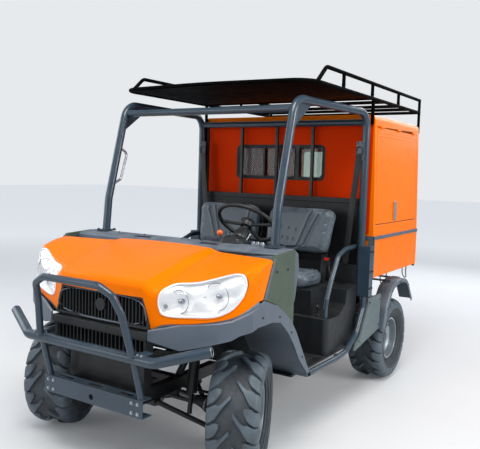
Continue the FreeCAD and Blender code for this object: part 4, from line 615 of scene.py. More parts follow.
def hood_profile(x):
    """Points from the hood's rear edge over the brow and nose to its lower edge."""
    rear, rear_z, brow, brow_z, nose, nose_z, low, low_z = hood_line(x)
    corners = [Vector((rear, rear_z)), Vector((brow, brow_z)), Vector((nose, nose_z)), Vector((low, low_z))]
    fade = clamp((HOOD_EDGE - abs(x)) / 0.07)
    out = []
    last = corners[0]
    for corner, after, bend, count in ((corners[1], corners[2], 0.070 * fade + 0.012, DECK_POINTS),
                                       (corners[2], corners[3], 0.040 * fade + 0.010, 7)):
        back, ahead = (last - corner), (after - corner)
        half_turn = (math.pi - back.angle(ahead)) / 2
        reach = min(bend * math.tan(half_turn), 0.45 * back.length, 0.45 * ahead.length)
        start, end = corner + back.normalized() * reach, corner + ahead.normalized() * reach
        for k in range(count):
            out.append(last.lerp(start, k / count))
        for k in range(7):
            t = k / 7
            out.append(start * (1 - t) ** 2 + corner * 2 * t * (1 - t) + end * t * t)
        last = end
    for k in range(11):
        out.append(last.lerp(corners[3], k / 10))
    # the deck is slightly crowned, and the crease bands stand wider apart at the back
    crowned = []
    wide = between(abs(x), [(0.0, 0.0), (INNER_X, 1.0), (OUTER_X, 1.0), (HOOD_EDGE, 0.0)])
    for i, p in enumerate(out):
        lift = DECK_CROWN * math.sin(math.pi * i / DECK_POINTS) if i < DECK_POINTS else 0.0
        share = clamp((p.x + 0.39) / 0.5)
        crowned.append(point(x + math.copysign(CREASE_SPREAD * share * wide, x), p.x, p.y + lift))
    return crowned


def hood_flank(side):
    """Edge of the hood's side along its seam with the cowl."""
    out = []
    for p in hood_profile(side * HOOD_LINES[-1][0]):
        high = clamp(p.z, SEAM_LOW[1], SEAM_HIGH[1])
        share = (high - SEAM_LOW[1]) / (SEAM_HIGH[1] - SEAM_LOW[1])
        out.append(point(side * HOOD_EDGE, SEAM_LOW[0] + share * (SEAM_HIGH[0] - SEAM_LOW[0]), high))
    return out


def hood_columns():
    half = [INNER_X * k / 9 for k in range(10)] + [0.299, 0.305, 0.318, 0.330, 0.336, OUTER_X]
    half += [OUTER_X + (HOOD_LINES[-1][0] - OUTER_X) * (k / 26) for k in range(1, 27)]
    return [-x for x in half[:0:-1]] + half


def hood_outside():
    shape = Shape()
    shape.grid([hood_flank(-1)] + [hood_profile(x) for x in hood_columns()] + [hood_flank(1)])
    return shape


# front view of a headlamp, columns: x, z
LAMP = [(0.385, 0.862), (0.362, 0.930), (0.372, 1.000), (0.410, 1.026), (0.500, 1.036), (0.610, 1.066),
        (0.700, 1.094), (0.745, 1.090), (0.765, 1.050), (0.755, 0.985), (0.715, 0.915), (0.660, 0.880),
        (0.600, 0.866)]
LAMP_MIDDLE = (0.565, 0.968)
# middles of the two reflectors, columns: x, z, radius
REFLECTORS = [(0.455, 0.940, 0.062), (0.625, 0.975, 0.074)]


def rounded_loop(corners):
    """Cuts the corners of a closed outline three times, until it is smooth."""
    for _ in range(3):
        out = []
        for (x, z), (next_x, next_z) in zip(corners, corners[1:] + corners[:1]):
            out.append((0.80 * x + 0.20 * next_x, 0.80 * z + 0.20 * next_z))
            out.append((0.20 * x + 0.80 * next_x, 0.20 * z + 0.80 * next_z))
        corners = out
    return corners


def drawn_in(outline, middle, inset):
    """An outline drawn in towards a middle by a distance."""
    out = []
    for a, b in outline:
        away = Vector((a - middle[0], b - middle[1]))
        away *= 1 - inset / away.length
        out.append((middle[0] + away.x, middle[1] + away.y))
    return out


class Skin:
    """The hood's outside, read from the front."""

    def __init__(self):
        shape = hood_outside()
        self.tree = BVHTree.FromPolygons(shape.points, shape.faces)

    def at(self, x, z, inward=0.0):
        """Point on the skin at a place in the front view, or a distance behind it along its normal."""
        # a line that misses the skin is moved a little towards the lamp's middle
        for nudge in (0.0, 0.016, 0.032, 0.056, 0.080):
            start = point(x + (LAMP_MIDDLE[0] - x) * nudge, -0.7, z + (LAMP_MIDDLE[1] - z) * nudge)
            spot, normal, _, _ = self.tree.ray_cast(start, Y)
            if spot is not None:
                break
        if normal.y > 0:
            normal = -normal
        return spot - normal * inward


def lamp_loop(inset):
    """The lamp's outline, drawn in by a distance in metres."""
    return drawn_in(rounded_loop(LAMP), LAMP_MIDDLE, inset)


def lamp_sheet(skin, inset, depth):
    """Surface over the lamp's opening. 'depth' gives how far it lies behind the skin."""
    rings = 14
    rows = []
    for k in range(rings + 1):
        v = 0.02 + 0.98 * k / rings
        row = []
        for pair in lamp_loop(inset):
            x, z = (m + (p - m) * v for p, m in zip(pair, LAMP_MIDDLE))
            row.append(skin.at(x, z) + Y * depth(x, z, v))
        rows.append(row)
    # even out the facets between the rings
    for _ in range(3):
        for i in range(1, rings):
            inner, row, outer = rows[i - 1:i + 2]
            count = len(row)
            rows[i] = [(inner[j] + outer[j] + row[j] * 2 + row[j - 1] + row[(j + 1) % count]) / 6
                       for j in range(count)]
    return rows


def bowl(x, z, v):
    """Depth of the reflectors behind the lens."""
    deep = 0.022 * min(1.0, (1 - v) * 9)
    for cx, cz, radius in REFLECTORS:
        share = math.hypot(x - cx, z - cz) / radius
        if share < 1:
            deep += 0.034 * (1 - share * share)
    return deep


def lamp_fittings(skin):
    """Bulb covers, the rings round the reflectors and the marker lamp."""
    fittings = Shape()
    for cx, cz, radius in REFLECTORS:
        back = skin.at(cx, cz) + Y * 0.055
        fittings.lathe([(0, 0.013), (0.018, 0.013), (0.026, 0.011), (0.031, 0.006), (0.032, 0.001)],
                       back, -Y, 20)
        wide = radius * 0.93
        fittings.tube([back + Vector((wide * math.cos(a), -0.030, wide * math.sin(a)))
                       for a in (2 * math.pi * k / 40 for k in range(40))], 0.0022, 6, closed=True)
    marker = skin.at(0.398, 0.915) + Y * 0.020
    fittings.lathe([(0, 0.012), (0.008, 0.011), (0.012, 0.004)], marker, -Y, 16)
    return fittings


def thicken(piece, thickness):
    thick = piece.modifiers.new("thick", "SOLIDIFY")
    thick.thickness = thickness
    thick.offset = -1
    return thick


def make_lamps(skin):
    for side, sign in SIDES:
        turn = FLIP if sign < 0 else Matrix.Identity(4)
        inside = Shape()
        inside.grid(lamp_sheet(skin, 0.008, bowl), ring=True)
        inside.moved(turn).done("lamp_reflector_" + side, "lamp_white", "hood", slot="lamp_lens", smooth=60)
        rim = Shape()
        rim.tube([skin.at(x, z, 0.001) for x, z in lamp_loop(0.008)], 0.0062, 8, closed=True)
        rim.moved(turn).done("lamp_frame_" + side, "lamp_frame", "hood", slot="lamp_lens")
        fittings = lamp_fittings(skin).moved(turn)
        fittings.done("lamp_fittings_" + side, "lamp_grey", "hood", slot="lamp_lens", smooth=50)
        lens = Shape()
        rows = lamp_sheet(skin, 0.005, lambda x, z, v: 0.0005)
        lens.grid(rows, ring=True)
        lens.faces.append(tuple(range(len(rows[0]))))
        cover = lens.moved(turn).done("lamp_cover_" + side, "clear_lens", "hood", slot="lamp_lens",
                                      smooth=60, replaces="headlamps")
        thicken(cover, 0.0025)


def cutter(outline, front, rear):
    """Prism from a front view outline of (x, z) pairs, used to cut and then removed."""
    shape = Shape()
    shape.prism([point(x, front, z) for x, z in outline], Y * (rear - front))
    return in_scene("cutter", shape.mesh("cutter"))


def make_hood():
    hood = hood_outside().done("hood_skin", "orange_paint", "hood", smooth=180, replaces="hood")
    thicken(hood, HOOD_SHEET).use_even_offset = False
    lamp_hole = rounded_loop(LAMP)
    holes = [cutter(lamp_hole, -0.46, 0.05), cutter([(-x, z) for x, z in lamp_hole], -0.46, 0.05),
             cutter(GRILLE_OPENING, -0.50, -0.20)]
    for i, hole in enumerate(holes):
        cut = hood.modifiers.new("cut%d" % i, "BOOLEAN")
        cut.operation = "DIFFERENCE"
        cut.solver = "EXACT"
        cut.object = hole
    bpy.context.view_layer.update()
    finished = evaluated(hood)
    hood.modifiers.clear()
    hood.data = finished
    for hole in holes:
        bpy.data.objects.remove(hole)
    finished.set_sharp_from_angle(angle=math.radians(30))
    skin = Skin()
    # rolled edges round the lamps
    edges = Shape()
    edges.tube([skin.at(x, z, 0.0015) for x, z in lamp_loop(-0.001)], 0.0042, 10, closed=True)
    edges.mirrored().done("hood_lamp_edges", "orange_paint", "hood")
    make_lamps(skin)


# Seats

SEAT_INNER = 0.022
SEAT_OUTER = 0.566
# the right seat stands a little further out and is a little wider
SEAT_SHIFT, SEAT_STRETCH = 0.016, 1.03
BACK_FOOT = Vector((0.0, at(1.218), 1.032))
BACK_UP = Vector((0.0, 0.068, 0.336)).normalized()
BACK_FRONT = Vector((0.0, -BACK_UP.z, BACK_UP.y))
BACK_TALL = 0.343
BACK_THICK = 0.108
CUSHION_LOW, CUSHION_HIGH = 0.826, 0.930
CUSHION_FRONT, CUSHION_REAR = -0.050, 0.274
SEAT_VOXEL = 0.006
SEAT_SWELL, SEAT_PRESSURE, SWELL_STEPS = 0.010, 4, 20
CREASE_WIDTH, BOLSTER_RISE = 0.0055, 0.0045

# creases of a seat back, columns: x, distance up the back
BACK_PANEL = [(0.088, 0.300), (0.110, 0.150), (0.126, 0.068), (0.150, 0.042), (0.220, 0.034), (0.292, 0.040),
              (0.320, 0.066), (0.352, 0.160), (0.398, 0.300)]
BACK_BOLSTER = [(0.362, 0.060), (0.400, 0.160), (0.452, 0.278)]
# dimples of a seat back, columns: x, distance up the back
BACK_DIMPLES = [(0.170, 0.172), (0.232, 0.168), (0.292, 0.164), (0.190, 0.098), (0.234, 0.094),
                (0.276, 0.092)]
# creases of a cushion, columns: x, y
CUSHION_PANEL = [(0.120, 0.250), (0.128, 0.080), (0.150, 0.030), (0.200, 0.012), (0.360, 0.012),
                 (0.405, 0.030), (0.425, 0.080), (0.432, 0.250)]
CUSHION_WELT = [(0.060, 0.240), (0.058, 0.030), (0.090, -0.012), (0.200, -0.022), (0.380, -0.022),
                (0.460, -0.010), (0.492, 0.030), (0.494, 0.240)]
# outlines of the blanks in the seat's own directions, columns: across, along
BACK_OUTLINE = [(SEAT_INNER, 0.055), (SEAT_INNER + 0.05, 0.006), (0.516, 0.002), (0.546, 0.060),
                (SEAT_OUTER - 0.004, 0.250), (SEAT_OUTER, 0.300), (0.524, BACK_TALL + 0.004),
                (0.080, BACK_TALL + 0.004), (SEAT_INNER + 0.002, 0.290)]
CUSHION_OUTLINE = [(SEAT_INNER, CUSHION_FRONT + 0.030), (0.075, CUSHION_FRONT + 0.004),
                   (0.300, CUSHION_FRONT), (0.470, CUSHION_FRONT + 0.016), (0.528, CUSHION_FRONT + 0.070),
                   (0.536, CUSHION_REAR - 0.060), (0.515, CUSHION_REAR), (0.060, CUSHION_REAR),
                   (SEAT_INNER, CUSHION_REAR - 0.040)]
# layers of the blanks, columns: distance outward, inset
BACK_LAYERS = [(-BACK_THICK + 0.006, 0.030), (-BACK_THICK + 0.022, 0.006), (-0.046, 0.002),
               (-0.018, 0.006), (-0.006, 0.022)]
CUSHION_LAYERS = [(CUSHION_LOW - CUSHION_HIGH + 0.014, 0.036), (-0.078, 0.012), (-0.040, 0.005),
                  (-0.012, 0.010), (0.002, 0.028)]
# lowest and highest place of the sewn seat along its outward direction
BACK_LIMITS = (-BACK_THICK + 0.001, 0.012)
CUSHION_LIMITS = (CUSHION_LOW - CUSHION_HIGH + 0.013, 0.014)


def seat_frame(kind):
    """Origin, across, along and outward directions of a seat's soft face."""
    if kind == "back":
        return BACK_FOOT, X, BACK_UP, BACK_FRONT
    return Vector((0, 0, CUSHION_HIGH - 0.012)), X, Y, Z


def seat_blank(kind):
    """Closed form a little smaller than the finished seat."""
    back = kind == "back"
    outline = rounded_loop(BACK_OUTLINE if back else CUSHION_OUTLINE)
    origin, across, along, outward = seat_frame(kind)
    middle = [sum(values) / len(outline) for values in zip(*outline)]
    rows = []
    for out, inset in BACK_LAYERS if back else CUSHION_LAYERS:
        rows.append([origin + across * a + along * b + outward * out
                     for a, b in drawn_in(outline, middle, inset + SEAT_SWELL * 0.4)])
    shape = Shape()
    shape.grid(rows, ring=True, ends=True)
    return shape


def evaluated(piece):
    """The piece's mesh with its modifiers worked in."""
    graph = bpy.context.evaluated_depsgraph_get()
    return bpy.data.meshes.new_from_object(piece.evaluated_get(graph))


def swollen(name, shape):
    """Fills the form like a cushion: cloth under pressure, with its swell capped."""
    piece = in_scene(name, shape.mesh(name))
    remesh = piece.modifiers.new("remesh", "REMESH")
    remesh.mode = "VOXEL"
    remesh.voxel_size = SEAT_VOXEL
    still = evaluated(piece)
    piece.modifiers.clear()
    piece.data = still
    start = [v.co.copy() for v in still.vertices]
    cloth = piece.modifiers.new("cloth", "CLOTH")
    cloth.settings.use_pressure = True
    cloth.settings.uniform_pressure_force = SEAT_PRESSURE
    cloth.settings.effector_weights.gravity = 0
    for step in range(1, SWELL_STEPS + 1):
        bpy.context.scene.frame_set(step)
    filled = evaluated(piece)
    piece.modifiers.clear()
    bpy.context.scene.frame_set(1)
    for vertex, old, new in zip(still.vertices, start, filled.vertices):
        move = new.co - old
        if move.length > SEAT_SWELL:
            move *= SEAT_SWELL / move.length
        vertex.co = old + move
    bpy.data.meshes.remove(filled)
    dense = piece.modifiers.new("dense", "SUBSURF")
    dense.levels = dense.render_levels = 1
    fine = evaluated(piece)
    bpy.data.objects.remove(piece)
    return fine


def distance_to_line(a, b, line):
    best = 1.0
    here = Vector((a, b))
    for start, end in zip(line, line[1:]):
        s, e = Vector(start), Vector(end)
        run = e - s
        share = clamp((here - s).dot(run) / run.length_squared)
        best = min(best, (here - s - run * share).length)
    return best


def crease(distance, depth, width):
    return -depth * math.exp(-(distance / width) ** 2)


def seat_creases(kind):
    """The inner and the outer crease line of a seat's soft face."""
    if kind == "back":
        return curve_through(BACK_PANEL, 33), curve_through(BACK_BOLSTER, 9)
    return curve_through(CUSHION_PANEL, 29), curve_through(CUSHION_WELT, 29)


def sewn(mesh, kind):
    """Presses the seams, the raised bolsters and the dimples into the soft face."""
    origin, across, along, outward = seat_frame(kind)
    inner, outer = seat_creases(kind)
    low_out, high_out = BACK_LIMITS if kind == "back" else CUSHION_LIMITS
    dimples = BACK_DIMPLES if kind == "back" else []
    normals = [v.normal.copy() for v in mesh.vertices]
    for vertex, normal in zip(mesh.vertices, normals):
        local = vertex.co - origin
        a, b, out = local.dot(across), local.dot(along), local.dot(outward)
        facing = clamp((normal.dot(outward) - 0.25) / 0.4)
        if facing:
            near_inner = distance_to_line(a, b, inner)
            near_outer = distance_to_line(a, b, outer)
            move = crease(near_inner, 0.0080, CREASE_WIDTH) + crease(near_outer, 0.0075, CREASE_WIDTH)
            move -= crease(near_inner - 0.014, BOLSTER_RISE, 0.007)
            move -= crease(near_outer - 0.014, BOLSTER_RISE, 0.007)
            for da, db in dimples:
                move += crease(math.hypot((a - da) / 0.0085, (b - db) / 0.019), 0.0075, 0.75)
            out += move * facing
        vertex.co = origin + across * a + along * b + outward * clamp(out, low_out, high_out)
    return mesh


def make_seats():
    """Seat backs and cushions of moulded vinyl over foam, the right ones as mirror images."""
    for kind, node in (("back", "seat_back_"), ("cushion", "seat_cushion_")):
        fine = sewn(swollen("blank_" + kind, seat_blank(kind)), kind)
        for side, sign in SIDES:
            mesh = fine.copy()
            if sign < 0:
                stretch = Matrix.Scale(-SEAT_STRETCH, 4, X)
                mesh.transform(Matrix.Translation((-SEAT_SHIFT, 0, 0)) @ stretch)
                mesh.flip_normals()
            dress(mesh, "seat_vinyl")
            piece = in_scene("vinyl_" + kind + "_" + side, mesh)
            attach(piece, "chassis")
            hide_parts(node + side)
        bpy.data.meshes.remove(fine)


def make_seat_hems():
    """Hem bead where the cover is drawn in at the back of each seat."""
    origin, across, along, outward = seat_frame("back")
    left = SEAT_INNER + 0.03
    ring = rounded_loop([(left, 0.040), (0.505, 0.036), (0.515, 0.300), (left, 0.300)])
    for side, sign in SIDES:
        hem = Shape()
        hem.tube([origin + across * (sign * a) + along * b + outward * (-BACK_THICK + 0.0035)
                  for a, b in ring], 0.003, 8, closed=True)
        hem.done("seat_hem_" + side, "seat_vinyl", "chassis")


# Helpers that seat details on the solids

solid_trees = {}


def probe(name, start, direction):
    """Where a straight line first meets a solid, with the surface's direction there."""
    if name not in solid_trees:
        mesh = nodes[name].data
        solid_trees[name] = BVHTree.FromPolygons([v.co.copy() for v in mesh.vertices],
                                                 [tuple(face.vertices) for face in mesh.polygons])
    spot, normal, _, _ = solid_trees[name].ray_cast(Vector(start), Vector(direction).normalized())
    return spot, normal


def bolts_on(shape, name, starts, direction, size):
    """Bolt heads where lines from 'starts' meet a solid."""
    for start in starts:
        spot, normal = probe(name, start, direction)
        if spot is not None:
            shape.bolt(spot, normal if normal.dot(Vector(direction)) < 0 else -normal, size)


def weld_ring(shape, centre, axis, radius, bead=0.0032):
    """Bead of weld round a tube, with its ripples."""
    ring = circle(Vector(centre), Vector(axis).normalized(), radius, 48)
    shape.tube(ring, [bead * (0.85 + 0.25 * (k % 3 == 0)) for k in range(48)], 6, closed=True)


# Bed, box and rack

BED_FRONT, BED_REAR, BED_SIDE, BED_BOTTOM, BED_TOP = 0.545, 1.557, 0.765, 0.860, 1.160
DOOR = {"front": 0.588, "rear": 1.498, "low": 1.245, "high": 1.949}
LATCH_Y = 0.969
WINDOW = {"low_x": -0.415, "high_x": 0.363, "low": 1.543, "high": 1.811}


def ring_outline(low_a, high_a, low_b, high_b, radius, steps=5):
    """Closed outline of a rectangle with round corners, as pairs."""
    out = []
    for ca, cb, first in ((high_a - radius, high_b - radius, 0), (low_a + radius, high_b - radius, 1),
                          (low_a + radius, low_b + radius, 2), (high_a - radius, low_b + radius, 3)):
        for k in range(steps + 1):
            turn = math.pi / 2 * (first + k / steps)
            out.append((ca + radius * math.cos(turn), cb + radius * math.sin(turn)))
    return out


def make_front_wall_shade():
    """Darker red sheet over the box's front wall with its window opening, standing in for the shade the wall
    lies in (painted shade).
    """
    window = ring_outline(WINDOW["low_x"] - 0.001, WINDOW["high_x"] + 0.001, WINDOW["low"] - 0.001,
                          WINDOW["high"] + 0.001, 0.041)
    wall = ring_outline(-0.728, 0.728, BED_TOP + 0.012, 1.985, 0.02)
    near, far = BED_FRONT - 0.0005, BED_FRONT - 0.0025
    shade_sheet = Shape()
    shade_sheet.grid([[Vector((a, y, b)) for a, b in loop]
                 for loop, y in ((wall, near), (wall, far), (window, far), (window, near))],
                ring=True, loop=True)
    shade_sheet.done("front_wall_painted_shade", "wall_shade_red", "bed", "orange_paint", bevel=0.0008)


def make_window():
    """Wire mesh over the right pane of the front window, the panes' rubber and the sliding catch."""
    low_x, high_x = WINDOW["low_x"] + 0.026, 0.108
    low, high = WINDOW["low"] + 0.026, WINDOW["high"] - 0.026
    tall = high - low
    mesh = Shape()
    step, wire = 0.019, 0.0011
    y = BED_FRONT + 0.006
    for slope in (1, -1):
        start = low_x - tall
        k = 0
        while start + k * step < high_x + tall:
            foot = start + k * step
            a, b = max(low_x, foot), min(high_x - 0.26, foot + tall)
            k += 1
            if b - a < 0.004:
                continue
            ends = [(a, low + (a - foot)), (b, low + (b - foot))]
            if slope < 0:
                ends = [(x, low + high - z) for x, z in ends]
            mesh.tube([Vector((x, y + slope * wire, z)) for x, z in ends], wire, 5)
    mesh.done("window_mesh", "rim_silver", "bed")
    seal = Shape()
    for x0, x1 in ((WINDOW["low_x"] + 0.012, 0.112), (0.148, WINDOW["high_x"] - 0.012)):
        loop = ring_outline(x0, x1, WINDOW["low"] + 0.012, WINDOW["high"] - 0.012, 0.028)
        seal.tube([Vector((a, BED_FRONT - 0.0065, b)) for a, b in loop], 0.0035, 8, closed=True)
    seal.box((-0.165, BED_FRONT - 0.010, WINDOW["low"] + 0.02),
             (-0.150, BED_FRONT + 0.004, WINDOW["high"] - 0.02))
    seal.done("window_seal", "black_plastic", "bed", bevel=0.001)


def make_bed_trim():
    """Rail along the bed's top edge, the pale corner posts and the rope hooks below."""
    rail, post, hooks = Shape(), Shape(), Shape()
    low, high, out = BED_TOP - 0.026, BED_TOP - 0.0005, 0.0045
    foot = BED_BOTTOM + 0.006
    rail_front = BED_FRONT - out
    for side in (-1, 1):
        inner, outer = side * (BED_SIDE - 0.002), side * (BED_SIDE + 0.005)
        rail.box((inner, rail_front, low), (side * (BED_SIDE + out), BED_REAR, high))
        post.box((inner, BED_FRONT - 0.006, BED_BOTTOM + 0.004), (outer, BED_FRONT + 0.018, low - 0.002))
        post.box((side * (BED_SIDE - 0.040), BED_FRONT - 0.006, BED_BOTTOM + 0.004),
                 (outer, BED_FRONT + 0.002, low - 0.002))
        x = side * (BED_SIDE - 0.010)
        out_x = x + side * 0.012
        for first, last in ((0.745, 0.880), (1.250, 1.350)):
            path = [(x, first, foot), (x, first + 0.008, 0.810), (out_x, first + 0.030, 0.778),
                    (out_x, last - 0.030, 0.778), (x, last - 0.008, 0.810), (x, last, foot)]
            hooks.tube([Vector(p) for p in curve_through(path, 25)], 0.0042, 8)
    rail.box((-BED_SIDE - out, rail_front, low), (BED_SIDE + out, BED_FRONT + 0.002, high))
    rail.done("bed_rail", "grey_plastic", "bed", bevel=0.0012)
    post.done("bed_corner_post", "step_plastic", "bed", "grey_plastic", bevel=0.0015)
    hooks.done("rope_hooks", "steel_dark", "bed")



def make_side_doors():
    """Paddle latches, pressed double bead and seals of the side lids."""
    for name, side in SIDES:
        body = "side_door_" + name
        bead = Shape()
        for z in (1.880, 1.906):
            rows = []
            for y in (DOOR["front"] + 0.018, DOOR["rear"] - 0.018):
                spot, _ = probe(body, (side * 0.9, y, z), (-side, 0, 0))
                rows.append(spot)
            bead.tube([rows[0], rows[0].lerp(rows[1], 0.5), rows[1]], 0.0026, 8)
        bead.done("door_beads_" + name, "orange_paint", body)
        latch = Shape()
        spot, _ = probe(body, (side * 0.9, LATCH_Y, 1.331), (-side, 0, 0))
        face = spot.x * side
        latch.box((side * (face - 0.002), 0.944, 1.259), (side * (face + 0.0018), 0.994, 1.403))
        latch.box((side * face, 0.955, 1.290), (side * (face + 0.008), 0.983, 1.392))
        latch.bolt((side * (face + 0.0018), LATCH_Y, 1.273), (side, 0, 0), 0.0065)
        latch.done("door_latch_" + name, "rim_silver", body, bevel=0.0015)
        seal = Shape()
        loop = ring_outline(DOOR["front"] - 0.004, DOOR["rear"] + 0.004, DOOR["low"] - 0.004,
                            DOOR["high"] + 0.004, 0.008, 3)
        seal.tube([probe_side(side, a, b) for a, b in loop], 0.0016, 6, closed=True)
        seal.done("door_seal_" + name, "black_plastic", "bed")


def probe_side(side, y, z):
    """Point on the box's side wall, a little inside its outer face."""
    low_spot, _ = probe("tool_box", (side * 0.9, BED_FRONT + 0.02, 1.20), (-side, 0, 0))
    high_spot, _ = probe("tool_box", (side * 0.9, BED_FRONT + 0.02, 1.96), (-side, 0, 0))
    share = (z - 1.20) / (1.96 - 1.20)
    return Vector((low_spot.x + (high_spot.x - low_spot.x) * share - side * 0.003, y, z))


def make_rear():
    """Hatch handle and pane seal, tailgate handle and the bolted rear posts."""
    handle = Shape()
    y = BED_REAR
    handle.box((-0.070, y - 0.002, 1.240), (0.070, y + 0.003, 1.290))
    handle.box((-0.050, y + 0.002, 1.252), (0.050, y + 0.009, 1.276))
    handle.done("hatch_handle", "rim_silver", "rear_hatch", bevel=0.0015)
    seal = Shape()
    loop = ring_outline(-0.330, 0.330, 1.480, 1.800, 0.036)
    seal.tube([Vector((a, y - 0.0005, b)) for a, b in loop], 0.005, 8, closed=True)
    seal.done("hatch_glass_seal", "black_plastic", "rear_hatch")
    gate = Shape()
    gate.box((-0.110, y - 0.002, 1.060), (0.110, y + 0.003, 1.112))
    gate.box((-0.080, y + 0.002, 1.070), (0.080, y + 0.008, 1.094))
    gate.done("tailgate_handle", "black_plastic", "tailgate", bevel=0.0015)
    posts = Shape()
    for side in (-1, 1):
        posts.box((side * 0.735, y - 0.002, 0.84), (side * 0.757, y + 0.003, 1.13))
        for z in (0.87, 0.98, 1.09):
            posts.bolt((side * 0.746, y + 0.003, z), Y, 0.006)
    posts.done("bed_rear_posts", "black_paint", "bed", bevel=0.001)


# Roll-over frame, rebuilt with round bends over its solid

PILLAR_X, REAR_PILLAR_X, PILLAR_RADIUS = 0.647, 0.707, 0.0255
PILLAR_FOOT, REAR_PILLAR, FRAME_TOP, DASH_TOP = 0.312, 1.455, 2.028, 1.178
FOOT_PLATE, GUSSET_THICK = 0.008, 0.010
# gusset of the front bend, columns: station, z
GUSSET = [(0.447, 1.850), (0.470, 1.850), (0.700, 2.008), (0.700, 2.024), (0.560, 2.024), (0.494, 1.985)]
# columns: station, z, half width
CROSS_TUBES = [(0.488, 1.966, PILLAR_X), (REAR_PILLAR, 1.962, REAR_PILLAR_X)]


def bent(corners, bends):
    """Path along corners, with each corner turned into an arc."""
    out = [corners[0]]
    for i in range(1, len(corners) - 1):
        back = (corners[i - 1] - corners[i]).normalized()
        ahead = (corners[i + 1] - corners[i]).normalized()
        turn = math.pi - back.angle(ahead)
        reach = bends[i] * math.tan(turn / 2)
        start = corners[i] + back * reach
        centre = corners[i] + (back + ahead).normalized() * (bends[i] / math.cos(turn / 2))
        arm = start - centre
        axis = (-back).cross(ahead).normalized()
        count = max(2, int(turn / math.radians(9)))
        for k in range(count + 1):
            out.append(centre + Matrix.Rotation(turn * k / count, 3, axis) @ arm)
    out.append(corners[-1])
    return out


def make_frame_tubes():
    tubes = Shape()
    for side in (-1, 1):
        x, rear_x = side * PILLAR_X, side * REAR_PILLAR_X
        path = [point(x, PILLAR_FOOT, DASH_TOP + 0.006), point(x, 0.330, 1.390), point(x, 0.494, FRAME_TOP),
                point(rear_x, REAR_PILLAR, FRAME_TOP), point(rear_x, REAR_PILLAR, 0.745)]
        tubes.tube(bent(path, [0, 0.15, 0.125, 0.105, 0]), PILLAR_RADIUS, 24)
    for station, z, wide in CROSS_TUBES:
        tubes.tube([point(-wide, station, z), point(0, station, z), point(wide, station, z)], 0.0225, 24)
    tubes.done("roll_frame_tubes", "slate_paint", "chassis", smooth=50, replaces="roll_over_frame")


def make_frame_plates():
    """Foot plates, gussets, rear fixing plates and the welds."""
    plates = Shape()
    for side in (-1, 1):
        x = side * PILLAR_X
        weld_ring(plates, point(x, PILLAR_FOOT, DASH_TOP + 0.010), Z, PILLAR_RADIUS)
        foot = ring_outline(x - 0.045, x + 0.045, PILLAR_FOOT - 0.050, PILLAR_FOOT + 0.050, 0.010)
        plates.prism([point(a, b, DASH_TOP) for a, b in foot], Z * FOOT_PLATE)
        plates.prism([point(x - GUSSET_THICK / 2, station, z) for station, z in GUSSET], X * GUSSET_THICK)
        plates.box((side * 0.700, at(1.430), 0.742), (side * 0.785, at(1.500), 1.098))
        plates.box((side * 0.650, at(1.425), 1.700), (side * 0.704, at(1.431), 1.830))
    for station, z, wide in CROSS_TUBES:
        for side in (-1, 1):
            weld_ring(plates, point(side * (wide - 0.024), station, z), X, 0.0235)
    plates.done("roll_frame_plates", "slate_paint", "chassis", bevel=0.0012)


def make_frame_bolts():
    bolts = Shape()
    for side in (-1, 1):
        for a in (-0.034, 0.034):
            for b in (-0.038, 0.038):
                place = point(side * PILLAR_X + a, PILLAR_FOOT + b, DASH_TOP + FOOT_PLATE)
                bolts.bolt(place, Z, 0.0075)
        for station in (1.445, 1.485):
            for z in (0.80, 0.92, 1.06):
                bolts.bolt(point(side * 0.785, station, z), (side, 0, 0), 0.0075)
        for x in (0.662, 0.692):
            for z in (1.712, 1.818):
                bolts.bolt(point(side * x, 1.425, z), -Y, 0.005)
        bolts.bolt(point(side * PILLAR_X - GUSSET_THICK / 2, 0.560, 2.000), (side, 0, 0), 0.005)
    bolts.done("roll_frame_bolts", "steel_dark", "chassis")


def make_grab_handle():
    grip = [point(-PILLAR_X, station, z)
            for station, z in ((0.352, 1.480), (0.440, 1.520), (0.500, 1.700), (0.415, 1.740))]
    handle = Shape()
    handle.tube(bent(grip, [0, 0.028, 0.028, 0]), 0.009, 12)
    handle.done("grab_handle", "rim_silver", "chassis", smooth=50)


def make_panels():
    """Closing panel behind the seat box, cowl edge strips and the lip under the hood."""
    back = Shape()
    back.box((-0.690, at(1.424), 0.640), (0.690, at(1.430), 0.960))
    for x in (-0.45, -0.15, 0.15, 0.45):
        back.box((x - 0.010, at(1.419), 0.660), (x + 0.010, at(1.425), 0.950))
    back.done("seat_back_panel", "black_plastic", "chassis", bevel=0.0015)
    strips = Shape()
    for side in (-1, 1):
        outline = [(0.066, 1.150), (0.088, 1.152), (-0.004, 0.951), (-0.030, 0.949)]
        strips.prism([point(side * 0.7845, station, z) for station, z in outline], X * side * 0.003)
    strips.done("cowl_edge", "grey_plastic", "chassis", bevel=0.0012)
    lip = Shape()
    for side in (-1, 1):
        path = []
        for k in range(25):
            x = 0.345 + (0.780 - 0.345) * k / 24
            low = hood_profile(x)[-1]
            path.append(Vector((side * x, low.y + 0.012, low.z - 0.007)))
        lip.tube(path, 0.0125, 10)
    lip.done("hood_lip", "grey_plastic", "chassis", smooth=60)


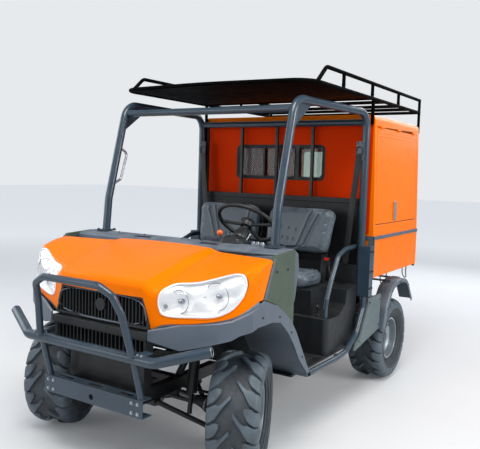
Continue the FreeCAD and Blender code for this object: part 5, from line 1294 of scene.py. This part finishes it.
def make_axle_details():
    """Folded boots with their clamps, and the sleeves of the shafts."""
    boots = Shape()
    clamps = Shape()
    for side in (-1, 1):
        for y in (FRONT_AXLE, REAR_AXLE):
            inner = Vector((side * 0.150, y, 0.358))
            outer = Vector((side * 0.440, y, 0.327))
            along = (outer - inner).normalized()
            for place, first, last, sign in ((inner, 0.046, 0.021, 1), (outer, 0.044, 0.021, -1)):
                rings = []
                for k in range(13):
                    t = k / 12
                    fold = 1.07 if k % 2 == 0 else 0.90
                    rings.append((sign * t * 0.085, (first + (last - first) * t) * fold))
                boots.lathe(rings, place, along, 28)
                clamps.lathe([(-0.001, first * 1.07), (-0.001, first * 1.12), (0.008, first * 1.12),
                              (0.008, first * 1.07)], place, along, 28)
            clamps.lathe([(-0.045, 0.017), (-0.040, 0.0185), (0.040, 0.0185), (0.045, 0.017)],
                         (inner + outer) / 2, along, 20)
    boots.done("shaft_boots", "black_plastic", "chassis", smooth=40)
    clamps.done("shaft_sleeves", "cast_metal", "chassis")


# Cabin details

WHEEL_CENTRE = Vector((0.345, -0.492, 1.2845))
COLUMN_AXIS = Vector((0, 0.62, 0.785)).normalized()


def make_controls():
    """Hub cover, column shroud, instrument pod, switches, stalk and the orange knob."""
    hub = Shape()
    spot, _ = probe("steering_wheel", WHEEL_CENTRE + COLUMN_AXIS * 0.2, -COLUMN_AXIS)
    hub.lathe([(-0.004, 0.040), (0.006, 0.046), (0.012, 0.042), (0.017, 0.030), (0.018, 0.010)],
              spot, COLUMN_AXIS, 36)
    hub.done("wheel_hub_cover", "black_plastic", "steering_wheel", smooth=50)
    pod = Shape()
    foot = Vector((0.345, -0.640, 1.150))
    rows = []
    for up, half, deep in ((0.0, 0.085, 0.060), (0.030, 0.080, 0.056), (0.055, 0.066, 0.046),
                           (0.066, 0.046, 0.030)):
        section = ring_outline(-half, half, -deep, deep, deep * 0.7)
        rows.append([foot + Vector((a, b, up)) for a, b in section])
    pod.grid(rows, ring=True, ends=True)
    pod.done("instrument_pod", "black_plastic", "chassis", bevel=0.003)
    dial = Shape()
    face_centre = foot + Vector((0.018, 0.040, 0.056))
    face_axis = Vector((0, 0.72, 0.69)).normalized()
    dial.lathe([(-0.012, 0.034), (0.004, 0.034), (0.006, 0.031), (0.003, 0.029)], face_centre, face_axis, 36)
    dial.done("dial_rim", "steel_dark", "chassis")
    face = Shape()
    face.lathe([(0.0, 0.0292), (0.0022, 0.0288), (0.0030, 0.020), (0.0032, 0.004)],
               face_centre, face_axis, 36)
    face.done("dial_face", "grey_plastic", "chassis")
    marks = Shape()
    over = face_axis.cross(X)
    centre = face_centre + face_axis * 0.0036
    for k in range(9):
        turn = math.radians(-40 + k * 32.5)
        out = X * math.cos(turn) + over * math.sin(turn)
        marks.tube([centre + out * 0.019, centre + out * 0.026], 0.0009, 5)
    centre = face_centre + face_axis * 0.004
    marks.tube([centre, centre + (X * 0.6 + over * 0.8) * 0.021], 0.0012, 5)
    marks.done("dial_marks", "rim_silver", "chassis")
    stalk = Shape()
    stalk.tube([Vector(p) for p in curve_through([(0.372, -0.585, 1.160), (0.392, -0.580, 1.185),
                                                  (0.402, -0.560, 1.214), (0.404, -0.548, 1.226)], 13)],
               [0.0035] * 10 + [0.005, 0.006, 0.005], 8)
    stalk.done("column_stalk", "rim_silver", "chassis")
    switches = Shape()
    for x in (0.470, 0.500, 0.530):
        switches.box((x - 0.010, -0.628, 1.168), (x + 0.010, -0.606, 1.190),
                     Matrix.Rotation(math.radians(-30), 3, "X"))
    switches.done("dash_switches", "lamp_grey", "chassis", "black_plastic", bevel=0.002)
    shroud = Shape()
    rows = []
    top = WHEEL_CENTRE - COLUMN_AXIS * 0.050
    side = COLUMN_AXIS.cross(X)
    for down, half, deep in ((0.0, 0.030, 0.028), (0.030, 0.046, 0.036), (0.085, 0.052, 0.040),
                             (0.110, 0.046, 0.034)):
        centre = top - COLUMN_AXIS * down
        section = ring_outline(-half, half, -deep, deep, deep * 0.6)
        rows.append([centre + X * a + side * b for a, b in section])
    shroud.grid(rows, ring=True, ends=True)
    shroud.done("column_shroud", "black_plastic", "chassis", bevel=0.003)
    knob = Shape()
    knob.lathe([(-0.0185, 0.004), (-0.0165, 0.0095), (-0.011, 0.0160), (0.0, 0.0195), (0.011, 0.0160),
                (0.0165, 0.0095), (0.0190, 0.002)], point(0.214, 0.401, 1.222), Z, 32)
    knob.done("lever_knob", "knob_orange", "chassis", "orange_paint", smooth=60)
    gaiter = Shape()
    spot, _ = probe("dash", point(0.250, 0.388, 1.4), -Z)
    rings = [(0.003 * k - 0.002, (0.026 - 0.0021 * k) * (1.0 if k % 2 else 0.86)) for k in range(9)]
    gaiter.lathe(rings, spot, Z, 28)
    gaiter.done("lever_gaiter", "black_plastic", "chassis", smooth=60)


def make_dash_trim():
    """Air slots and screws of the dash top, and bolts of the cowls."""
    slots = Shape()
    for side in (-1, 1):
        for i in range(7):
            spot, _ = probe("dash", point(side * (0.200 + i * 0.018), 0.235, 1.4), -Z)
            slots.box(spot - Vector((0.004, 0.020, 0.002)), spot + Vector((0.004, 0.020, 0.0025)))
    slots.done("dash_air_slots", "black_plastic", "chassis", bevel=0.001)
    screws = Shape()
    bolts_on(screws, "dash", [point(x, 0.300, 1.4) for x in (-0.52, -0.30, 0.0, 0.15, 0.56)], -Z, 0.005)
    side_bolts(screws, "side_cowls", ((0.10, 1.08), (0.22, 1.08), (0.16, 0.80), (0.26, 0.80)), 0.0055)
    screws.done("cabin_bolts", "steel_dark", "chassis")


def side_bolts(shape, name, places, size):
    """Bolt heads in both flanks of a solid, columns of the places: station, z."""
    for side in (-1, 1):
        starts = [point(side * 0.95, station, z) for station, z in places]
        bolts_on(shape, name, starts, (-side, 0, 0), size)


def make_belts():
    """Webbing from the guide plate down behind each seat, and a buckle with a red button."""
    section = ((-0.023, 0), (-0.019, 0.0012), (0.019, 0.0012), (0.023, 0), (0.019, -0.0012),
               (-0.019, -0.0012))
    path = curve_through([(0.672, at(1.421), 1.745), (0.662, at(1.421), 1.60), (0.640, at(1.420), 1.40),
                          (0.622, at(1.418), 1.20), (0.612, at(1.414), 1.05), (0.608, at(1.408), 0.965)],
                         25)
    for name, side in SIDES:
        rows = []
        for i, (x, y, z) in enumerate(path):
            wave = 0.0012 * math.sin(i * 0.9)
            rows.append([Vector((side * (x + a), y + wave + b, z + 0.12 * a)) for a, b in section])
        belt = Shape()
        belt.grid(rows, ring=True, ends=True)
        belt.done("belt_webbing_" + name, "black_plastic", "chassis", smooth=60)
        guide = Shape()
        loop = ring_outline(0.652, 0.696, 1.730, 1.790, 0.014)
        guide.tube([Vector((side * a, at(1.4215), b)) for a, b in loop], 0.0045, 8, closed=True)
        guide.done("belt_guide_" + name, "steel_dark", "chassis")
        stalk = Shape()
        stalk.tube([Vector((side * 0.556, 0.305, 0.832)), Vector((side * 0.548, 0.303, 0.90)),
                    Vector((side * 0.530, 0.300, 0.962))], 0.007, 8)
        stalk.box((side * 0.500, 0.288, 0.955), (side * 0.542, 0.310, 1.006))
        stalk.done("belt_buckle_" + name, "black_plastic", "chassis", bevel=0.002)
        button = Shape()
        button.box((side * 0.505, 0.2865, 0.990), (side * 0.537, 0.3115, 1.0085))
        button.done("belt_button_" + name, "buckle_red", "chassis", "orange_paint", bevel=0.002)


# Front details
GUARD_RADIUS = 0.0225


def make_guard_trim():
    """Open ends, weld beads and bolts of the brush guard and the channel, with painted shade inside the open
    ends.
    """
    ends, end_shade, welds = Shape(), Shape(), Shape()
    for side in (-1, 1):
        inner, outer = point(side * 0.449, -0.479, 0.667), point(side * 0.707, -0.363, 0.746)
        along = (outer - inner).normalized()
        spot, _ = probe("brush_guard", outer + along * 0.15, -along)
        tip = outer + along * (spot - outer).dot(along)
        ends.lathe([(-0.001, GUARD_RADIUS + 0.0005), (0.0022, GUARD_RADIUS), (0.0028, GUARD_RADIUS - 0.002),
                    (0.0022, GUARD_RADIUS - 0.004), (-0.0005, GUARD_RADIUS - 0.0045)], tip, along, 28)
        # a near-black disc inside each open end stands in for the shade inside the tube (painted shade)
        end_shade.lathe([(-0.004, GUARD_RADIUS - 0.004), (0.0008, GUARD_RADIUS - 0.0045)], tip, along, 28)
        weld_ring(welds, point(side * 0.330, -0.487, 0.692), (0.07, -0.3, 1), GUARD_RADIUS)
        weld_ring(welds, point(side * 0.328, -0.470, 0.640), (0, 0.3, -1), 0.0185)
    ends.done("guard_rim", "rim_silver", "chassis", smooth=50)
    end_shade.done("guard_end_shade", "roof_black_and_shade", "chassis", "black_paint")
    welds.done("guard_welds", "slate_paint", "chassis")
    bolts = Shape()
    starts = [point(x, -0.60, z) for x in (-0.325, -0.285, 0.285, 0.325) for z in (0.378, 0.428)]
    bolts_on(bolts, "brush_guard", starts, Y, 0.008)
    starts = [point(side * x, -0.60, 0.695) for side in (-1, 1) for x in (0.357, 0.383)]
    bolts_on(bolts, "brush_guard", starts, Y, 0.006)
    bolts.done("guard_bolts", "rim_silver", "chassis")


def make_grille_trim():
    """Pale rim round the upper grille."""
    path = []
    for x, z in rounded_loop([(-0.300, 0.948), (0.300, 0.948), (0.330, 0.800), (-0.330, 0.800)]):
        spot, _ = probe("upper_grille", point(x, -0.7, z), Y)
        if spot is not None:
            path.append(spot - Y * 0.001)
    rim = Shape()
    rim.tube(path, 0.0035, 6, closed=True)
    rim.done("grille_rim", "grey_plastic", "hood")


def make_fender_trim():
    """Screws along the flares and the side panels."""
    screws = Shape()
    side_bolts(screws, "rear_fenders", ((1.80, 0.60), (1.90, 0.72), (2.07, 0.77), (2.28, 0.72)), 0.005)
    side_bolts(screws, "front_fenders", ((-0.05, 0.865), (0.12, 0.84), (0.26, 0.73), (0.40, 0.56)), 0.005)
    side_bolts(screws, "rear_side_panels", ((1.33, 0.445), (1.69, 0.50), (1.69, 0.69), (1.50, 0.69)), 0.005)
    screws.done("fender_screws", "steel_dark", "chassis")


def make_rack_trim():
    """Welds at the rack's joints and the deck's screws."""
    welds = Shape()
    floor_z, half = 2.145, 0.720
    for side in (-1, 1):
        for station in (1.000, 1.500, 2.050):
            for lift in (0.014, 0.088):
                weld_ring(welds, point(side * half, station, floor_z + lift), Z, 0.0115, 0.0026)
    welds.done("rack_welds", "roof_black_and_shade", "bed", "black_paint")
    screws = Shape()
    starts = [point(x, st, 2.4) for st in (0.62, 0.90, 1.20, 1.46) for x in (-0.60, -0.20, 0.20, 0.60)]
    bolts_on(screws, "roof_rack", starts, -Z, 0.006)
    screws.done("roof_screws", "steel_dark", "bed")


make_wheels()
make_hood()
make_seats()
make_seat_hems()
make_front_wall_shade()
make_window()
make_bed_trim()
make_side_doors()
make_rear()
make_frame_tubes()
make_frame_plates()
make_grab_handle()
make_frame_bolts()
make_panels()
make_axle_details()
make_controls()
make_dash_trim()
make_belts()
make_guard_trim()
make_grille_trim()
make_fender_trim()
make_rack_trim()


# Floor, light and camera


def floor_material():
    t = Tree("floor")
    t.join(t.mix(t.noise(1.4, 5.0), (0.60, 0.61, 0.62), (0.66, 0.67, 0.68)), t.shader.inputs["Base Color"])
    socket_value(t.shader, "Roughness", 0.9)
    socket_value(t.shader, "Specular IOR Level", 0.1)
    # far from the object the camera sees the floor as pale as the room
    far = t.add("ShaderNodeVectorMath", operation="LENGTH")
    t.join(t.place, far.inputs[0])
    glow = t.add("ShaderNodeEmission", Color=PALE_ROOM)
    seen = t.add("ShaderNodeLightPath").outputs["Is Camera Ray"]
    t.join(t.times(t.span(far.outputs["Value"], 2.5, 11.0, 0.08, 0.62), seen), glow.inputs["Strength"])
    both = t.add("ShaderNodeAddShader")
    t.join(t.shader.outputs[0], both.inputs[0])
    t.join(glow.outputs[0], both.inputs[1])
    t.join(both.outputs[0], t.tree.nodes["Material Output"].inputs["Surface"])
    return t.material


def make_floor():
    half, low = 40, -0.001
    mesh = bpy.data.meshes.new("floor_plane")
    mesh.from_pydata([(-half, -half, low), (half, -half, low), (half, half, low), (-half, half, low)], [],
                     [(0, 1, 2, 3)])
    mesh.materials.append(floor_material())
    in_scene("floor_plane", mesh)


def make_room():
    """Dim sky for the surfaces, and a pale room for the camera and through clear glass."""
    world = bpy.data.worlds.new("studio")
    bpy.context.scene.world = world
    world.use_nodes = True
    tree = world.node_tree
    sky = tree.nodes["Background"]
    socket_value(sky, "Color", (0.78, 0.87, 1.0, 1.0))
    socket_value(sky, "Strength", 0.42)
    pale = tree.nodes.new("ShaderNodeBackground")
    socket_value(pale, "Color", PALE_ROOM)
    socket_value(pale, "Strength", 1.0)
    rays = tree.nodes.new("ShaderNodeLightPath")
    either = tree.nodes.new("ShaderNodeMath")
    either.operation = "MAXIMUM"
    tree.links.new(rays.outputs["Is Camera Ray"], either.inputs[0])
    tree.links.new(rays.outputs["Is Transmission Ray"], either.inputs[1])
    chosen = tree.nodes.new("ShaderNodeMixShader")
    tree.links.new(either.outputs[0], chosen.inputs[0])
    tree.links.new(sky.outputs[0], chosen.inputs[1])
    tree.links.new(pale.outputs[0], chosen.inputs[2])
    tree.links.new(chosen.outputs[0], tree.nodes["World Output"].inputs["Surface"])


def area_light(name, place, aim, size, power, colour=(1, 1, 1)):
    data = bpy.data.lights.new(name, "AREA")
    data.shape = "RECTANGLE"
    data.size, data.size_y = size
    data.energy = power
    data.color = colour
    light = in_scene(name, data)
    light.location = place
    light.rotation_mode = "QUATERNION"
    light.rotation_quaternion = (Vector(aim) - Vector(place)).to_track_quat("-Z", "Y")


CAMERA_PLACE = (2.3666, -3.7471, 1.5965)
CAMERA_TURN = (32.5087, -4.8077, 1.6864)
LENS, SENSOR = 47.33, 36.0


def make_camera():
    """Camera at the photograph's place, from its yaw, pitch and roll in degrees."""
    data = bpy.data.cameras.new("camera")
    data.sensor_width = SENSOR
    data.lens = LENS
    data.clip_end = 200
    camera = in_scene("camera", data)
    bpy.context.scene.camera = camera
    yaw, pitch, roll = (math.radians(a) for a in CAMERA_TURN)
    ahead = Vector((-math.sin(yaw) * math.cos(pitch), math.cos(yaw) * math.cos(pitch), math.sin(pitch)))
    level = Vector((math.cos(yaw), math.sin(yaw), 0.0))
    over = level.cross(ahead)
    right = level * math.cos(roll) + over * math.sin(roll)
    up = over * math.cos(roll) - level * math.sin(roll)
    turned = Matrix((right, up, -ahead)).transposed().to_4x4()
    camera.matrix_world = Matrix.Translation(CAMERA_PLACE) @ turned


make_floor()
make_room()
area_light("key", (1.5, -3.0, 6.0), (0, -0.2, 0.8), (3.0, 3.0), 330, (1.0, 0.97, 0.93))
area_light("side", (6.0, 0.5, 3.2), (0, 0, 0.9), (3.0, 2.5), 235, (0.99, 0.99, 0.97))
area_light("front", (-2.5, -6.0, 2.4), (0, -0.5, 0.8), (4.0, 2.5), 85)
area_light("rear", (0.3, 6.5, 3.6), (0, 0.5, 1.0), (3.5, 3.0), 130)
area_light("right", (-5.0, -1.2, 2.6), (0, 0.2, 0.9), (3.0, 3.0), 80)
make_camera()
bpy.context.scene.view_settings.view_transform = "Standard"
